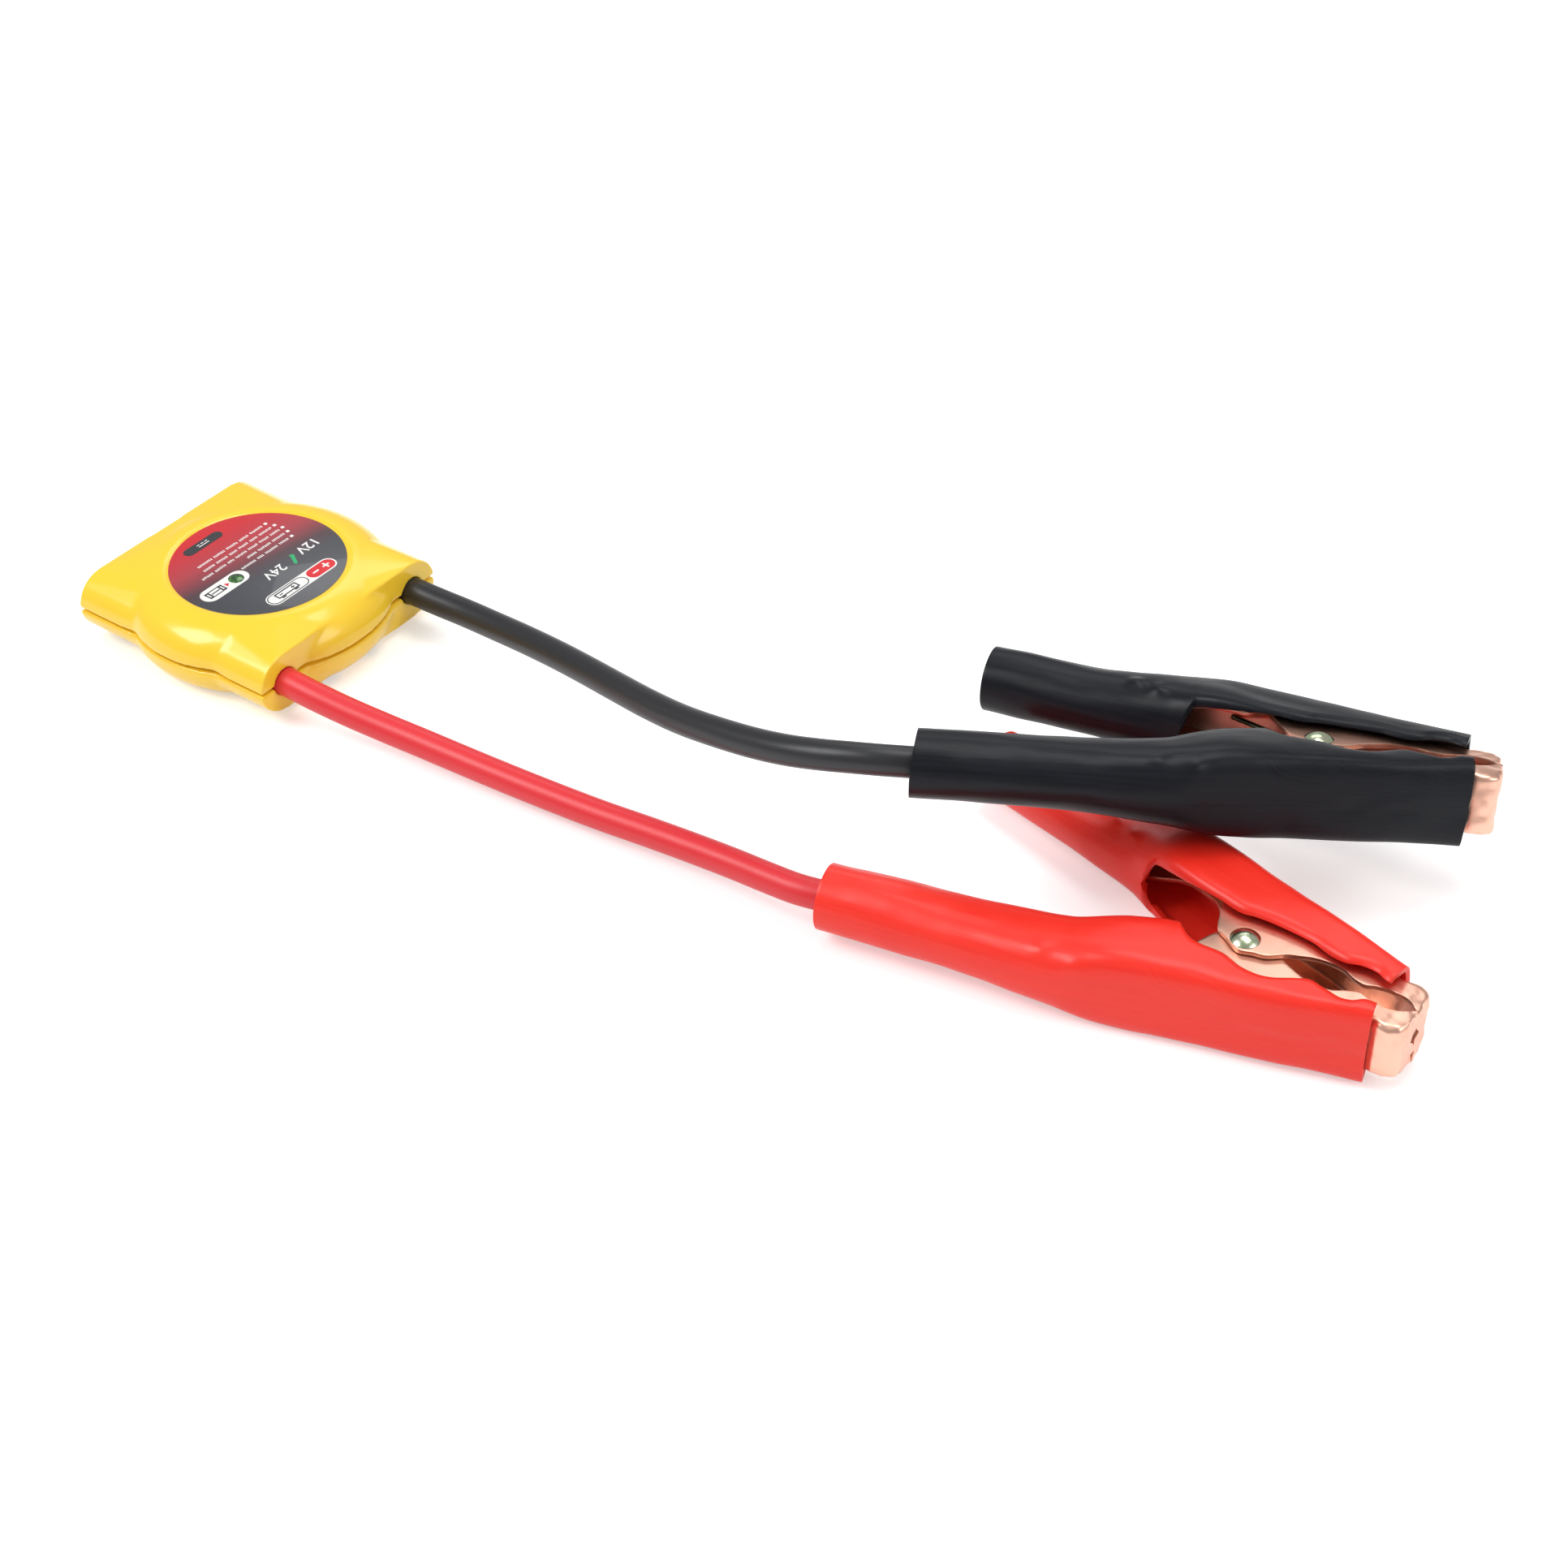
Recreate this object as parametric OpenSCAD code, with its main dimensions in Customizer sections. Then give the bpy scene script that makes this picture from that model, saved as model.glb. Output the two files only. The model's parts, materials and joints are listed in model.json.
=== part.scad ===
// Clamp-on surge protector for a vehicle battery: a two-shell housing with a
// round label, two short leads and two spring clamps in PVC sleeves.
// Origin: centre of the flat underside of the housing. +X runs along the
// leads towards the clamps, +Z is up. Millimetres.

/* [Housing] */
// Side of the square body, seen from above
housing_side = 70.5; // [69:0.5:71]
// Distance of the square body's middle behind the label's
square_back = 1.6; // [1:0.1:2]
// Thickness of the closed housing
housing_t = 22.6; // [22:0.2:24]
// Radius of the round bulge at the seam
bulge_r = 38.2; // [38:0.1:39]
// Radius of the flat crown that carries the label
crown_r = 25.7; // [25.6:0.1:26.4]
// Radius of the flat crown that the housing lies on
base_r = 28.6; // [28:0.1:29]
// Width of the rounded edge of each ear
ear_w = 9; // [8:0.2:10]
// Height of each ear above the seam
ear_h = 8.8; // [8.4:0.1:9.2]
// Wall thickness of both shells
wall = 2.2; // [2:0.1:2.4]
// Gap that shows between the shells
seam_gap = 0.9; // [0.4:0.1:1.2]

/* [Label] */
// Diameter of the printed disc
label_d = 50; // [46:0.5:51]
// Thickness of the printed disc
label_t = 0.4; // [0.2:0.1:0.4]
// Status light, distance from the middle along the leads
light_x = 0.5; // [-1:0.5:1]
// Status light, distance from the middle towards the red lead
light_y = -9.2; // [-10:0.1:-8]
// Diameter of the light window
light_d = 4.2; // [3:0.1:4.6]

/* [Leads] */
// Outer diameter of a lead
lead_d = 8; // [7:0.1:8.4]
// Distance from the middle of the housing to each lead
lead_y = 26; // [25.5:0.5:26.5]

/* [Clamps] */
// Half of the angle between the two handles
half_angle = 12; // [11:0.5:13]
// Length of the sleeve on the cable lever
cable_sleeve_l = 137; // [134:1:140]
// Length of the sleeve on the red free lever
red_free_sleeve_l = 127.5; // [125:0.5:128]
// Length of the sleeve on the black free lever
black_free_sleeve_l = 125.5; // [124:0.5:128]
// Wall thickness of the PVC sleeves
sleeve_wall = 1.5; // [1.2:0.1:1.6]
// Thickness of the pressed lever sheet
sheet = 1.2; // [1:0.1:1.3]
// Diameter of the rivet shaft
rivet_d = 5; // [4:0.1:5.4]
// Diameter of the spring wire
wire_d = 1.5; // [1.2:0.1:1.6]

/* [Hidden] */
$fn = 48;

// Colours
yellow = [0.98, 0.78, 0.08];
red_pvc = [0.93, 0.16, 0.13];
black_pvc = [0.07, 0.08, 0.10];
copper = [0.86, 0.58, 0.45];
zinc = [0.72, 0.76, 0.62];

// Housing, heights from the seam plane
seam_z = housing_t / 2;
half_side = housing_side / 2;
rear_x = -half_side - square_back;
front_x = half_side - square_back;
eps = 0.01;
far = 60;
lip_h = 1.6;
lip_t = 1.4;
lip_play = 0.15;
floor_z = -(seam_z - wall);
bore_r = lead_d / 2 + 0.05;
light_pos = [light_x, light_y];

// Board and what stands on it, heights from the seam plane
board_t = 1.6;
board_top = -4.6;
board_r = 32.6;
board_front = 10;
lug_end = 12;
lug_palm_t = 1.2;
lug_screw = [-7, lead_y];
core_r = 3.2;
lead_end_x = 14;
saddle_x = 16.2;
saddle_w = 4;
saddle_screw_y = 19;
rear_screw = [-28.5, 28.5];
front_screw = [30.4, 8];
front_post_r = 4.2;
screw_r = 1.5;
screw_head_r = 2.9;
screw_head_h = 2;
rear_head_z = -4.2;
front_head_z = -5;

// Clamp frame: origin at the rivet, +X to the nose, Z along the rivet
sleeve_tip = [37, 7];
rivet_play = 0.06;
free_half_w = 8.2;
lever_gap = 0.3;
cable_half_w = free_half_w - sheet - lever_gap;
handle_half_w = 5;
head_r = 3.7;
head_h = 1.5;
head_play = 0.1;
crimp_from = 110;
crimp_to = 124;
coil_r = 4.4;
coil_h = 7.2;
coil_turns = 3;
leg_end = [-21.5, 23.7];
leg_z = 2.3;

// Where each clamp lies: rivet, then heading, pitch and roll in degrees
red_at = [300.2, 24.9, 12.45];
red_turn = [0.5, -1, 0];
black_at = [288.8, 79.8, 31.2];
black_turn = [24.2, 1.5, -18];

// Routes of the free leads
RED_ROUTE = [
    [33.7, -26, 11.3], [43, -25.7, 10.6], [54, -24.3, 9.1], [66, -22.5, 7.8],
    [79, -20.8, 6.9], [92, -19.4, 6.2], [106, -18.2, 5.9], [120, -17, 5.8],
    [135, -15.8, 6.1], [149, -14.6, 6.8], [163, -13.8, 7.7], [176, -13.6, 8.8],
    [187, -13.8, 9.8], [196, -13.6, 10.5], [203.6, -12.1, 10.8],
    [210, -10.5, 10.9], [216.3, -8.9, 11]
];
BLACK_ROUTE = [
    [33.7, 26, 11.3], [43, 26.2, 11.3], [54, 26, 11.9], [66, 24.6, 13.4],
    [79, 22.3, 15.7], [93, 19.2, 18.4], [106, 15.8, 21], [120, 11.6, 24.1],
    [133, 7.8, 27], [146, 4.5, 30.1], [159, 1.8, 33.8], [172, 0.1, 37.3],
    [183, -0.4, 40.3], [192.5, 0.5, 42.7], [200.5, 2.4, 44.3],
    [207.5, 5.1, 45], [214.7, 9.4, 44.8], [220, 13, 44.3],
    [225.2, 16.6, 43.7]
];
lead_sides = 10;

// Sleeve stations: distance from the nose end, outer face, inner face, half
// width and squareness, the faces measured from the line of the lever
STATIONS = [
    [0, 4, -9, 12, 5], [20, 6.3, -9, 11.5, 5], [45, 7.7, -13.5, 12, 5],
    [62, 9.5, -11.5, 12, 4], [75, 11.2, -9.6, 10.3, 2.6],
    [95, 10.4, -9.6, 8.8, 2.1], [118, 9.5, -8.9, 8.7, 2],
    [137, 9, -8.2, 8.6, 2]
];
sleeve_rings = 15;
sleeve_sides = 20;

// Edge of the opening cut along the inner side of each sleeve
FREE_MOUTH = [
    [-34, 12.6], [-25, 9.6], [-17.4, 7.4], [-10, 6], [-7, 5.2], [-3.9, 4.9],
    [-1.3, 5.4], [3.1, 5.8], [7.7, 5.8], [12, 5.6], [15, 5.2], [18, 4.2],
    [20.5, 3.5], [24.4, 3.1], [28.2, 4.2], [32, 4.2], [35, 2.6], [38, 2.8],
    [42, 4.5]
];
CABLE_MOUTH = [
    [-34, 4], [-20, 4.6], [-14, 5.8], [-10.5, 8.6], [-7.3, 9.6], [-1, 9.4],
    [2, 10.4], [4.5, 11.4], [9.2, 11.6], [13, 10.2], [17.4, 7.2],
    [20.2, 5.9], [22.9, 6.6], [25.6, 7.3], [28.5, 8.1], [31.4, 7.4],
    [33.7, 5.2], [42, 5.2]
];

// A point given along and out from the line of the lever, in the clamp frame
function on_lever(along, out) = [
    sleeve_tip.x - along * cos(half_angle) + out * sin(half_angle),
    sleeve_tip.y + along * sin(half_angle) + out * cos(half_angle)
];

function lever_back(end) = [
    [45.2, 0.2], [45.2, 5], [44.3, 7.4], [42.2, 9], [39.4, 9.4],
    on_lever(0, 2), on_lever(20, 3.9), on_lever(45, 5.3), on_lever(62, 6.7),
    on_lever(75, 7), on_lever(95, 5.7), on_lever(end, 4.7)
];
function lever_inner(end) = [
    on_lever(end, -3.6), on_lever(95, -3.2), on_lever(75, -3.5),
    on_lever(62, -6), [-13, 9], [-9.7, 5.7], [-7, 1.2], [-4.1, -2],
    [0, -4.3], [4, -3.3], [7.1, -2.4], [10.7, 0.5], [13.6, 1.8],
    [17.1, 3.2], [20.6, 3.7], [24.2, 3.4], [27.6, 1.9], [30.6, 1.4],
    [33, 2.4], [38, 3.2], [41.5, 2.2], [44, 0.2]
];
function shifted(points, by) = [for (p = points) [p.x - by * 0.2, p.y - by]];

// Catmull-Rom value between four knots
function blend4(a, b, c, d, t) =
    0.5 * (2 * b + (c - a) * t + (2 * a - 5 * b + 4 * c - d) * t * t
        + (3 * b - a - 3 * c + d) * t * t * t);
function station_index(s) =
    max([for (i = [0 : len(STATIONS) - 2]) STATIONS[i][0] <= s ? i : 0]);
function station(s) =
    let (
        i = station_index(s),
        last = len(STATIONS) - 1,
        t = (s - STATIONS[i][0]) / (STATIONS[i + 1][0] - STATIONS[i][0])
    )
    blend4(STATIONS[max(i - 1, 0)], STATIONS[i], STATIONS[i + 1],
        STATIONS[min(i + 2, last)], t);

function rounded(v, n) = sign(v) * pow(abs(v), 2 / n);
function sleeve_ring(s, inset) =
    let (
        st = station(s),
        mid = (st[1] + st[2]) / 2,
        half = (st[1] - st[2]) / 2 - inset,
        width = st[3] - inset
    )
    [
        for (k = [0 : sleeve_sides - 1])
            let (
                angle = 360 * k / sleeve_sides,
                p = on_lever(s, mid + half * rounded(sin(angle), st[4]))
            )
            [p.x, p.y, width * rounded(cos(angle), st[4])]
    ];

// Triangles between ring i and ring i + 1 of a skin whose points start at base
function skin_faces(base, rings, sides, flip) = [
    for (i = [0 : rings - 2], k = [0 : sides - 1])
        let (
            a = base + i * sides + k,
            b = base + i * sides + (k + 1) % sides,
            c = a + sides,
            d = b + sides
        )
        each (flip ? [[a, b, c], [b, d, c]] : [[a, c, b], [b, c, d]])
];
function annulus_faces(outer, inner, sides, flip) = [
    for (k = [0 : sides - 1])
        let (
            a = outer + k,
            b = outer + (k + 1) % sides,
            c = inner + k,
            d = inner + (k + 1) % sides
        )
        each (flip ? [[a, c, b], [b, c, d]] : [[a, b, c], [b, d, c]])
];
function fan_faces(base, sides, flip) = [
    for (k = [1 : sides - 2])
        flip ? [base, base + k + 1, base + k] : [base, base + k, base + k + 1]
];

// Frames carried along a path without twist
function unit(v) = v / norm(v);
function path_dir(path, i) =
    unit(path[min(i + 1, len(path) - 1)] - path[max(i - 1, 0)]);
function across(dir, side) = unit(side - dir * (side * dir));
function path_sides(path, i, side) =
    i == len(path) ? [] :
    let (s = across(path_dir(path, i), side))
    concat([s], path_sides(path, i + 1, s));
function tube_points(path, r, sides, first_side) =
    let (carried = path_sides(path, 0, first_side))
    [
        for (i = [0 : len(path) - 1], k = [0 : sides - 1])
            let (
                dir = path_dir(path, i),
                up = cross(dir, carried[i]),
                angle = 360 * k / sides
            )
            path[i] + r * (cos(angle) * carried[i] + sin(angle) * up)
    ];

// Spring: a leg, the coil and the other leg
leg_reach = norm(leg_end);
leg_angle = atan2(leg_end.y, leg_end.x) - acos(coil_r / leg_reach);
coil_sweep = 2 * leg_angle + 360 * coil_turns;
coil_steps = ceil(coil_sweep / 45);
function coil_point(t) =
    let (angle = -leg_angle + t * coil_sweep)
    [coil_r * cos(angle), coil_r * sin(angle), coil_h * (t - 0.5)];
spring_path = concat(
    [[leg_end.x, -leg_end.y, -leg_z],
     [leg_end.x / 2, -leg_end.y / 2 - 1.5, -(leg_z + coil_h / 2) / 2]],
    [for (i = [0 : coil_steps]) coil_point(i / coil_steps)],
    [[leg_end.x / 2, leg_end.y / 2 + 1.5, (leg_z + coil_h / 2) / 2],
     [leg_end.x, leg_end.y, leg_z]]
);
spring_gap = min([
    for (i = [0 : coil_steps - 8], j = [i + 6 : coil_steps])
        norm(coil_point(i / coil_steps) - coil_point(j / coil_steps)) - wire_d
]);
echo(spring_least_gap_mm = spring_gap);

// ---------------------------------------------------------------- housing

// Quarter-ellipse profile of the bulge, turned about Z
module bulge(r, top_r, h, edge) {
    steps = 12;
    arc = [
        for (i = [0 : steps])
            let (angle = 90 * i / steps)
            [top_r + (r - top_r) * cos(angle), edge + (h - edge) * sin(angle)]
    ];
    rotate_extrude($fn = 96)
        polygon(concat([[0, 0], [r, 0]], arc, [[0, h]]));
}

module upper_half(h) {
    intersection() {
        children();
        translate([-far, -far, 0])
            cube([2 * far, 2 * far, h]);
    }
}

// Square body: ramps that fall from the crown to rounded edges along X
module ramps(top_r) {
    upper_half(seam_z)
        hull() {
            for (side = [-1, 1])
                translate([rear_x, side * (half_side - ear_w), 0])
                    rotate([90, 0, 90])
                        scale([ear_w, ear_h, 1])
                            cylinder(r = 1, h = housing_side);
            cylinder(r = top_r, h = seam_z, $fn = 64);
        }
}

module shell_outside(top_r) {
    bulge(bulge_r, top_r, seam_z, 1);
    ramps(top_r);
}

module shell_inside(top_r) {
    bulge(bulge_r - wall, top_r - wall + 0.4, seam_z - wall, 1);
}

// Ends halfway through the wall, for what grows out of it
module shell_core(top_r) {
    bulge(bulge_r - wall / 2, top_r - wall / 2, seam_z - wall / 2, 1);
}

module lead_bores() {
    for (side = [-1, 1])
        translate([lead_end_x, side * lead_y, 0])
            rotate([0, 90, 0])
                cylinder(r = bore_r, h = far - lead_end_x);
}

module screw_places() {
    for (side = [-1, 1]) {
        translate([rear_screw.x, side * rear_screw.y, 0])
            children(0);
        translate([front_screw.x, side * front_screw.y, 0])
            children(1);
    }
}

module housing_top() {
    color(yellow)
        translate([0, 0, seam_z])
            difference() {
                union() {
                    difference() {
                        shell_outside(crown_r);
                        shell_inside(crown_r);
                    }
                    intersection() {
                        shell_core(crown_r);
                        for (side = [-1, 1])
                            translate([front_screw.x, side * front_screw.y, 0])
                                cylinder(r = front_post_r, h = seam_z);
                    }
                }
                translate([-far, -far, -1])
                    cube([2 * far, 2 * far, 1 + seam_gap / 2]);
                lead_bores();
                translate([0, 0, seam_z - label_t - 0.1])
                    cylinder(d = label_d + 0.3, h = 2, $fn = 96);
                translate([light_pos.x, light_pos.y, 0])
                    cylinder(d = light_d + 0.1, h = far);
                screw_places() {
                    cylinder(r = screw_r + 0.02, h = 5.5);
                    cylinder(r = screw_r + 0.02, h = 5.5);
                }
            }
}

module seam_lip() {
    difference() {
        translate([0, 0, -2])
            cylinder(r = bulge_r - wall - lip_play, h = 2 + lip_h, $fn = 96);
        translate([0, 0, -3])
            cylinder(r = bulge_r - wall - lip_play - lip_t, h = far, $fn = 96);
        for (side = [-1, 1])
            translate([front_screw.x, side * front_screw.y, seam_gap / 2])
                cylinder(r = front_post_r + 0.3, h = far);
    }
}

// Posts and ribs that stand on the floor of the lower shell
module floor_posts() {
    for (side = [-1, 1]) {
        translate([lug_screw.x, side * lug_screw.y, -far])
            cylinder(r = 3.6, h = far + board_top - board_t);
        translate([saddle_x, side * saddle_screw_y, -far])
            cylinder(r = 2.8, h = far + 0.2);
        translate([saddle_x - saddle_w / 2, side * lead_y - 5, -far])
            cube([saddle_w, 10, far - 1]);
        translate([front_screw.x, side * front_screw.y, -far])
            cylinder(r = front_post_r, h = far + seam_gap / 2);
    }
    translate([-27, 0, -far])
        cylinder(r = 3, h = far + board_top - board_t);
}

module housing_bottom() {
    color(yellow)
        translate([0, 0, seam_z])
            difference() {
                union() {
                    difference() {
                        mirror([0, 0, 1])
                            shell_outside(base_r);
                        mirror([0, 0, 1])
                            shell_inside(base_r);
                        translate([-far, -far, -seam_gap / 2])
                            cube([2 * far, 2 * far, 2]);
                    }
                    seam_lip();
                    for (side = [-1, 1])
                        translate([rear_screw.x, side * rear_screw.y, -1])
                            cylinder(r = 3.2, h = 1 + seam_gap / 2);
                    intersection() {
                        union() {
                            mirror([0, 0, 1])
                                shell_core(base_r);
                            cylinder(r = bulge_r - wall - lip_play, h = 1);
                        }
                        floor_posts();
                    }
                }
                lead_bores();
                for (side = [-1, 1]) {
                    translate([lug_screw.x, side * lug_screw.y, floor_z])
                        cylinder(r = 1.95, h = far);
                    translate([saddle_x, side * saddle_screw_y, floor_z + 1])
                        cylinder(r = 1.25, h = far);
                }
                screw_places() {
                    screw_hole(rear_head_z);
                    screw_hole(front_head_z);
                }
            }
}

module screw_hole(head_z) {
    translate([0, 0, -far])
        cylinder(r = screw_r + 0.1, h = 2 * far);
    translate([0, 0, -far])
        cylinder(r = screw_head_r + 0.2, h = far + head_z);
}

module cross_screw(head_z, tip_z) {
    difference() {
        union() {
            translate([0, 0, head_z])
                cylinder(r = screw_r, h = tip_z - head_z);
            translate([0, 0, head_z - screw_head_h])
                cylinder(r = screw_head_r, h = screw_head_h);
        }
        for (turn = [0, 90])
            rotate(turn)
                translate([-1.9, -0.35, head_z - screw_head_h - eps])
                    cube([3.8, 0.7, 1.1]);
    }
}

module housing_screws() {
    color(zinc)
        translate([0, 0, seam_z])
            screw_places() {
                cross_screw(rear_head_z, 5);
                cross_screw(front_head_z, 5);
            }
}

module label() {
    color([0.35, 0.18, 0.2])
        translate([0, 0, housing_t - label_t - 0.1])
            difference() {
                cylinder(d = label_d, h = label_t, $fn = 96);
                translate([light_pos.x, light_pos.y, -1])
                    cylinder(d = light_d + 0.1, h = 3);
            }
}

module light_window() {
    lens_t = wall + 0.1;
    color([0.5, 0.9, 0.5, 0.6])
        translate([light_pos.x, light_pos.y, housing_t - 0.1 - lens_t])
            cylinder(d = light_d, h = lens_t);
}

// ------------------------------------------------------------- electronics

module on_board(x, y) {
    translate([x, y, seam_z + board_top])
        children();
}

module status_led() {
    body_r = 2.5;
    color([0.2, 0.75, 0.3])
        on_board(light_pos.x, light_pos.y) {
            for (side = [-1, 1])
                translate([-0.25, side * 1.27 - 0.25, 0])
                    cube([0.5, 0.5, 6]);
            translate([0, 0, 6])
                cylinder(r = body_r + 0.4, h = 1);
            translate([0, 0, 6])
                cylinder(r = body_r, h = 4.7);
            translate([0, 0, 10.7])
                sphere(r = body_r);
        }
}

module circuit_board() {
    color([0.1, 0.4, 0.22])
        translate([0, 0, seam_z + board_top - board_t])
            difference() {
                intersection() {
                    cylinder(r = board_r, h = board_t, $fn = 96);
                    translate([-far, -far, 0])
                        cube([far + board_front, 2 * far, board_t]);
                }
                for (side = [-1, 1])
                    translate([lug_screw.x, side * lug_screw.y, -1])
                        cylinder(r = 2.15, h = 5);
            }
}

module varistor_discs() {
    disc_r = 6;
    disc_t = 4;
    color([0.12, 0.3, 0.62])
        for (x = [-24, -18, -12])
            on_board(x, 8) {
                translate([-disc_t / 2, 0, disc_r + 0.6])
                    rotate([0, 90, 0])
                        cylinder(r = disc_r, h = disc_t);
                for (side = [-1, 1])
                    translate([-0.4, side * 2.5 - 0.4, 0])
                        cube([0.8, 0.8, 3]);
            }
}

module transient_diodes() {
    body_r = 4.4;
    body_l = 9;
    color([0.14, 0.14, 0.15])
        for (y = [1.5, 12])
            on_board(-1, y) {
                translate([-body_l / 2, 0, body_r + 0.4])
                    rotate([0, 90, 0])
                        cylinder(r = body_r, h = body_l);
                translate([-7, 0, body_r + 0.4])
                    rotate([0, 90, 0])
                        cylinder(r = 0.6, h = 14);
                for (x = [-6.4, 6.4])
                    translate([x, 0, 0])
                        cylinder(r = 0.6, h = body_r + 0.4);
            }
}

module glass_fuse() {
    fuse_l = 18;
    color([0.8, 0.8, 0.78])
        on_board(-17, -15) {
            translate([-fuse_l / 2, 0, 4])
                rotate([0, 90, 0])
                    cylinder(r = 2.2, h = fuse_l);
            for (side = [-1, 1])
                translate([side * (fuse_l / 2 - 2.5), 0, 4])
                    rotate([0, 90, 0])
                        cylinder(r = 2.6, h = 5, center = true);
            for (side = [-1, 1])
                translate([side * (fuse_l / 2 - 2.5) - 1.5, -3, 0])
                    cube([3, 6, 3]);
        }
}

module board_resistors() {
    color([0.72, 0.6, 0.42])
        for (y = [-5, -9])
            on_board(-14, y) {
                translate([-3, 0, 1.4])
                    rotate([0, 90, 0])
                        cylinder(r = 1.1, h = 6);
                translate([-4.5, 0, 1.4])
                    rotate([0, 90, 0])
                        cylinder(r = 0.3, h = 9);
                for (x = [-4.3, 4.3])
                    translate([x, 0, 0])
                        cylinder(r = 0.3, h = 1.4);
            }
}

module lug(side) {
    color([0.8, 0.78, 0.72])
        translate([0, side * lead_y, seam_z])
            difference() {
                union() {
                    translate([3, 0, 0])
                        rotate([0, 90, 0])
                            cylinder(r = 4.3, h = lug_end - 3);
                    translate([-12.5, -4.7, board_top])
                        cube([20, 9.4, lug_palm_t]);
                }
                translate([2, 0, 0])
                    rotate([0, 90, 0])
                        cylinder(r = core_r + 0.05, h = far);
                translate([lug_screw.x, 0, board_top - 1])
                    cylinder(r = 2.1, h = 4);
            }
}

module red_lug() {
    lug(-1);
}

module black_lug() {
    lug(1);
}

module terminal_screws() {
    color(zinc)
        for (side = [-1, 1])
            translate([lug_screw.x, side * lug_screw.y, seam_z]) {
                translate([0, 0, floor_z + 0.3])
                    cylinder(r = 1.9, h = board_top - floor_z + 1);
                translate([0, 0, board_top + lug_palm_t])
                    cylinder(r = 3.6, h = 2.2);
            }
}

module lead_saddle() {
    saddle_end = 28.4;
    saddle_h = 5;
    color([0.2, 0.2, 0.22])
        translate([saddle_x - saddle_w / 2, 0, seam_z])
            difference() {
                translate([0, -saddle_end, 0.4])
                    cube([saddle_w, 2 * saddle_end, saddle_h - 0.4]);
                for (side = [-1, 1]) {
                    translate([-1, side * lead_y, 0])
                        rotate([0, 90, 0])
                            cylinder(r = bore_r, h = saddle_w + 2);
                    translate([saddle_w / 2, side * saddle_screw_y, 0])
                        cylinder(r = 1.35, h = far);
                }
            }
}

module saddle_screws() {
    color(zinc)
        for (side = [-1, 1])
            translate([saddle_x, side * saddle_screw_y, seam_z]) {
                translate([0, 0, -5])
                    cylinder(r = 1.2, h = 10);
                translate([0, 0, 5])
                    cylinder(r = 2.4, h = 1.8);
            }
}

module lead_end(side) {
    translate([0, side * lead_y, seam_z])
        rotate([0, 90, 0]) {
            translate([0, 0, lead_end_x])
                cylinder(d = lead_d, h = front_x - lead_end_x + 0.05);
            translate([0, 0, 4])
                cylinder(r = core_r, h = lead_end_x - 4 + eps);
        }
}

module red_lead_end() {
    color(red_pvc)
        lead_end(-1);
}

module black_lead_end() {
    color(black_pvc)
        lead_end(1);
}

// ------------------------------------------------------------------- leads

module tube_along(path, r, sides, first_side) {
    rings = len(path);
    polyhedron(
        points = tube_points(path, r, sides, first_side),
        faces = concat(
            skin_faces(0, rings, sides, true),
            fan_faces(0, sides, true),
            fan_faces((rings - 1) * sides, sides, false)
        )
    );
}

module red_lead() {
    color(red_pvc)
        tube_along(RED_ROUTE, lead_d / 2, lead_sides, [0, 0, 1]);
}

module black_lead() {
    color(black_pvc)
        tube_along(BLACK_ROUTE, lead_d / 2, lead_sides, [0, 0, 1]);
}

// ------------------------------------------------------------------ clamps

module laid(at, turn) {
    translate(at)
        rotate([turn[2], turn[1], turn[0]])
            children();
}

module at_red() {
    laid(red_at, red_turn)
        children();
}

module at_black() {
    laid(black_at, black_turn)
        children();
}

module plates(half_w, thick) {
    for (side = [-1, 1])
        translate([0, 0, side * (half_w - thick / 2)])
            linear_extrude(thick, center = true)
                children();
}

module cheek_outline(end) {
    polygon(concat(lever_back(end), lever_inner(end)));
}

module web_outline(end) {
    back = lever_back(end);
    inner = shifted([for (i = [4 : len(back) - 1]) back[i]], sheet);
    polygon(concat(back, [for (i = [len(inner) - 1 : -1 : 0]) inner[i]],
        [[42.8, 7.3], [44, 4.5], [44, 0.2]]));
}

module part_of(from_x, to_x) {
    intersection() {
        children();
        translate([from_x, -far])
            square([to_x - from_x, 2 * far]);
    }
}

// Pressed channel: cheeks and back wide at the jaw, narrow in the handle
module lever(end, pivot_half_w, bore) {
    narrow_x = -14;
    wide_x = 30;
    difference() {
        union() {
            plates(pivot_half_w, sheet)
                part_of(narrow_x, wide_x + 3)
                    cheek_outline(end);
            plates(free_half_w, free_half_w - pivot_half_w + sheet)
                part_of(wide_x, wide_x + 3)
                    cheek_outline(end);
            plates(free_half_w, sheet)
                part_of(wide_x, 46)
                    cheek_outline(end);
            linear_extrude(2 * pivot_half_w, center = true)
                part_of(narrow_x, wide_x + 3)
                    web_outline(end);
            linear_extrude(2 * free_half_w, center = true)
                part_of(wide_x, 46)
                    web_outline(end);
            plates(pivot_half_w, pivot_half_w - handle_half_w + sheet)
                part_of(narrow_x - 2, narrow_x + 1)
                    cheek_outline(end);
            plates(handle_half_w, sheet)
                part_of(-far * 2, narrow_x + 1)
                    cheek_outline(end);
            linear_extrude(2 * handle_half_w, center = true)
                part_of(-far * 2, narrow_x + 1)
                    web_outline(end);
        }
        cylinder(r = bore, h = 4 * free_half_w, center = true);
        for (z = [-5.5, 0, 5.5])
            translate([43.5, -0.9, z])
                rotate([0, 90, 0])
                    rotate(45)
                        cube([1.9, 1.9, 6], center = true);
    }
}

module cable_lever() {
    mirror([0, 1, 0])
        lever(crimp_from, cable_half_w, rivet_d / 2 + 0.02);
}

module free_lever() {
    lever(118, free_half_w, rivet_d / 2 + rivet_play);
}

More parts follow.
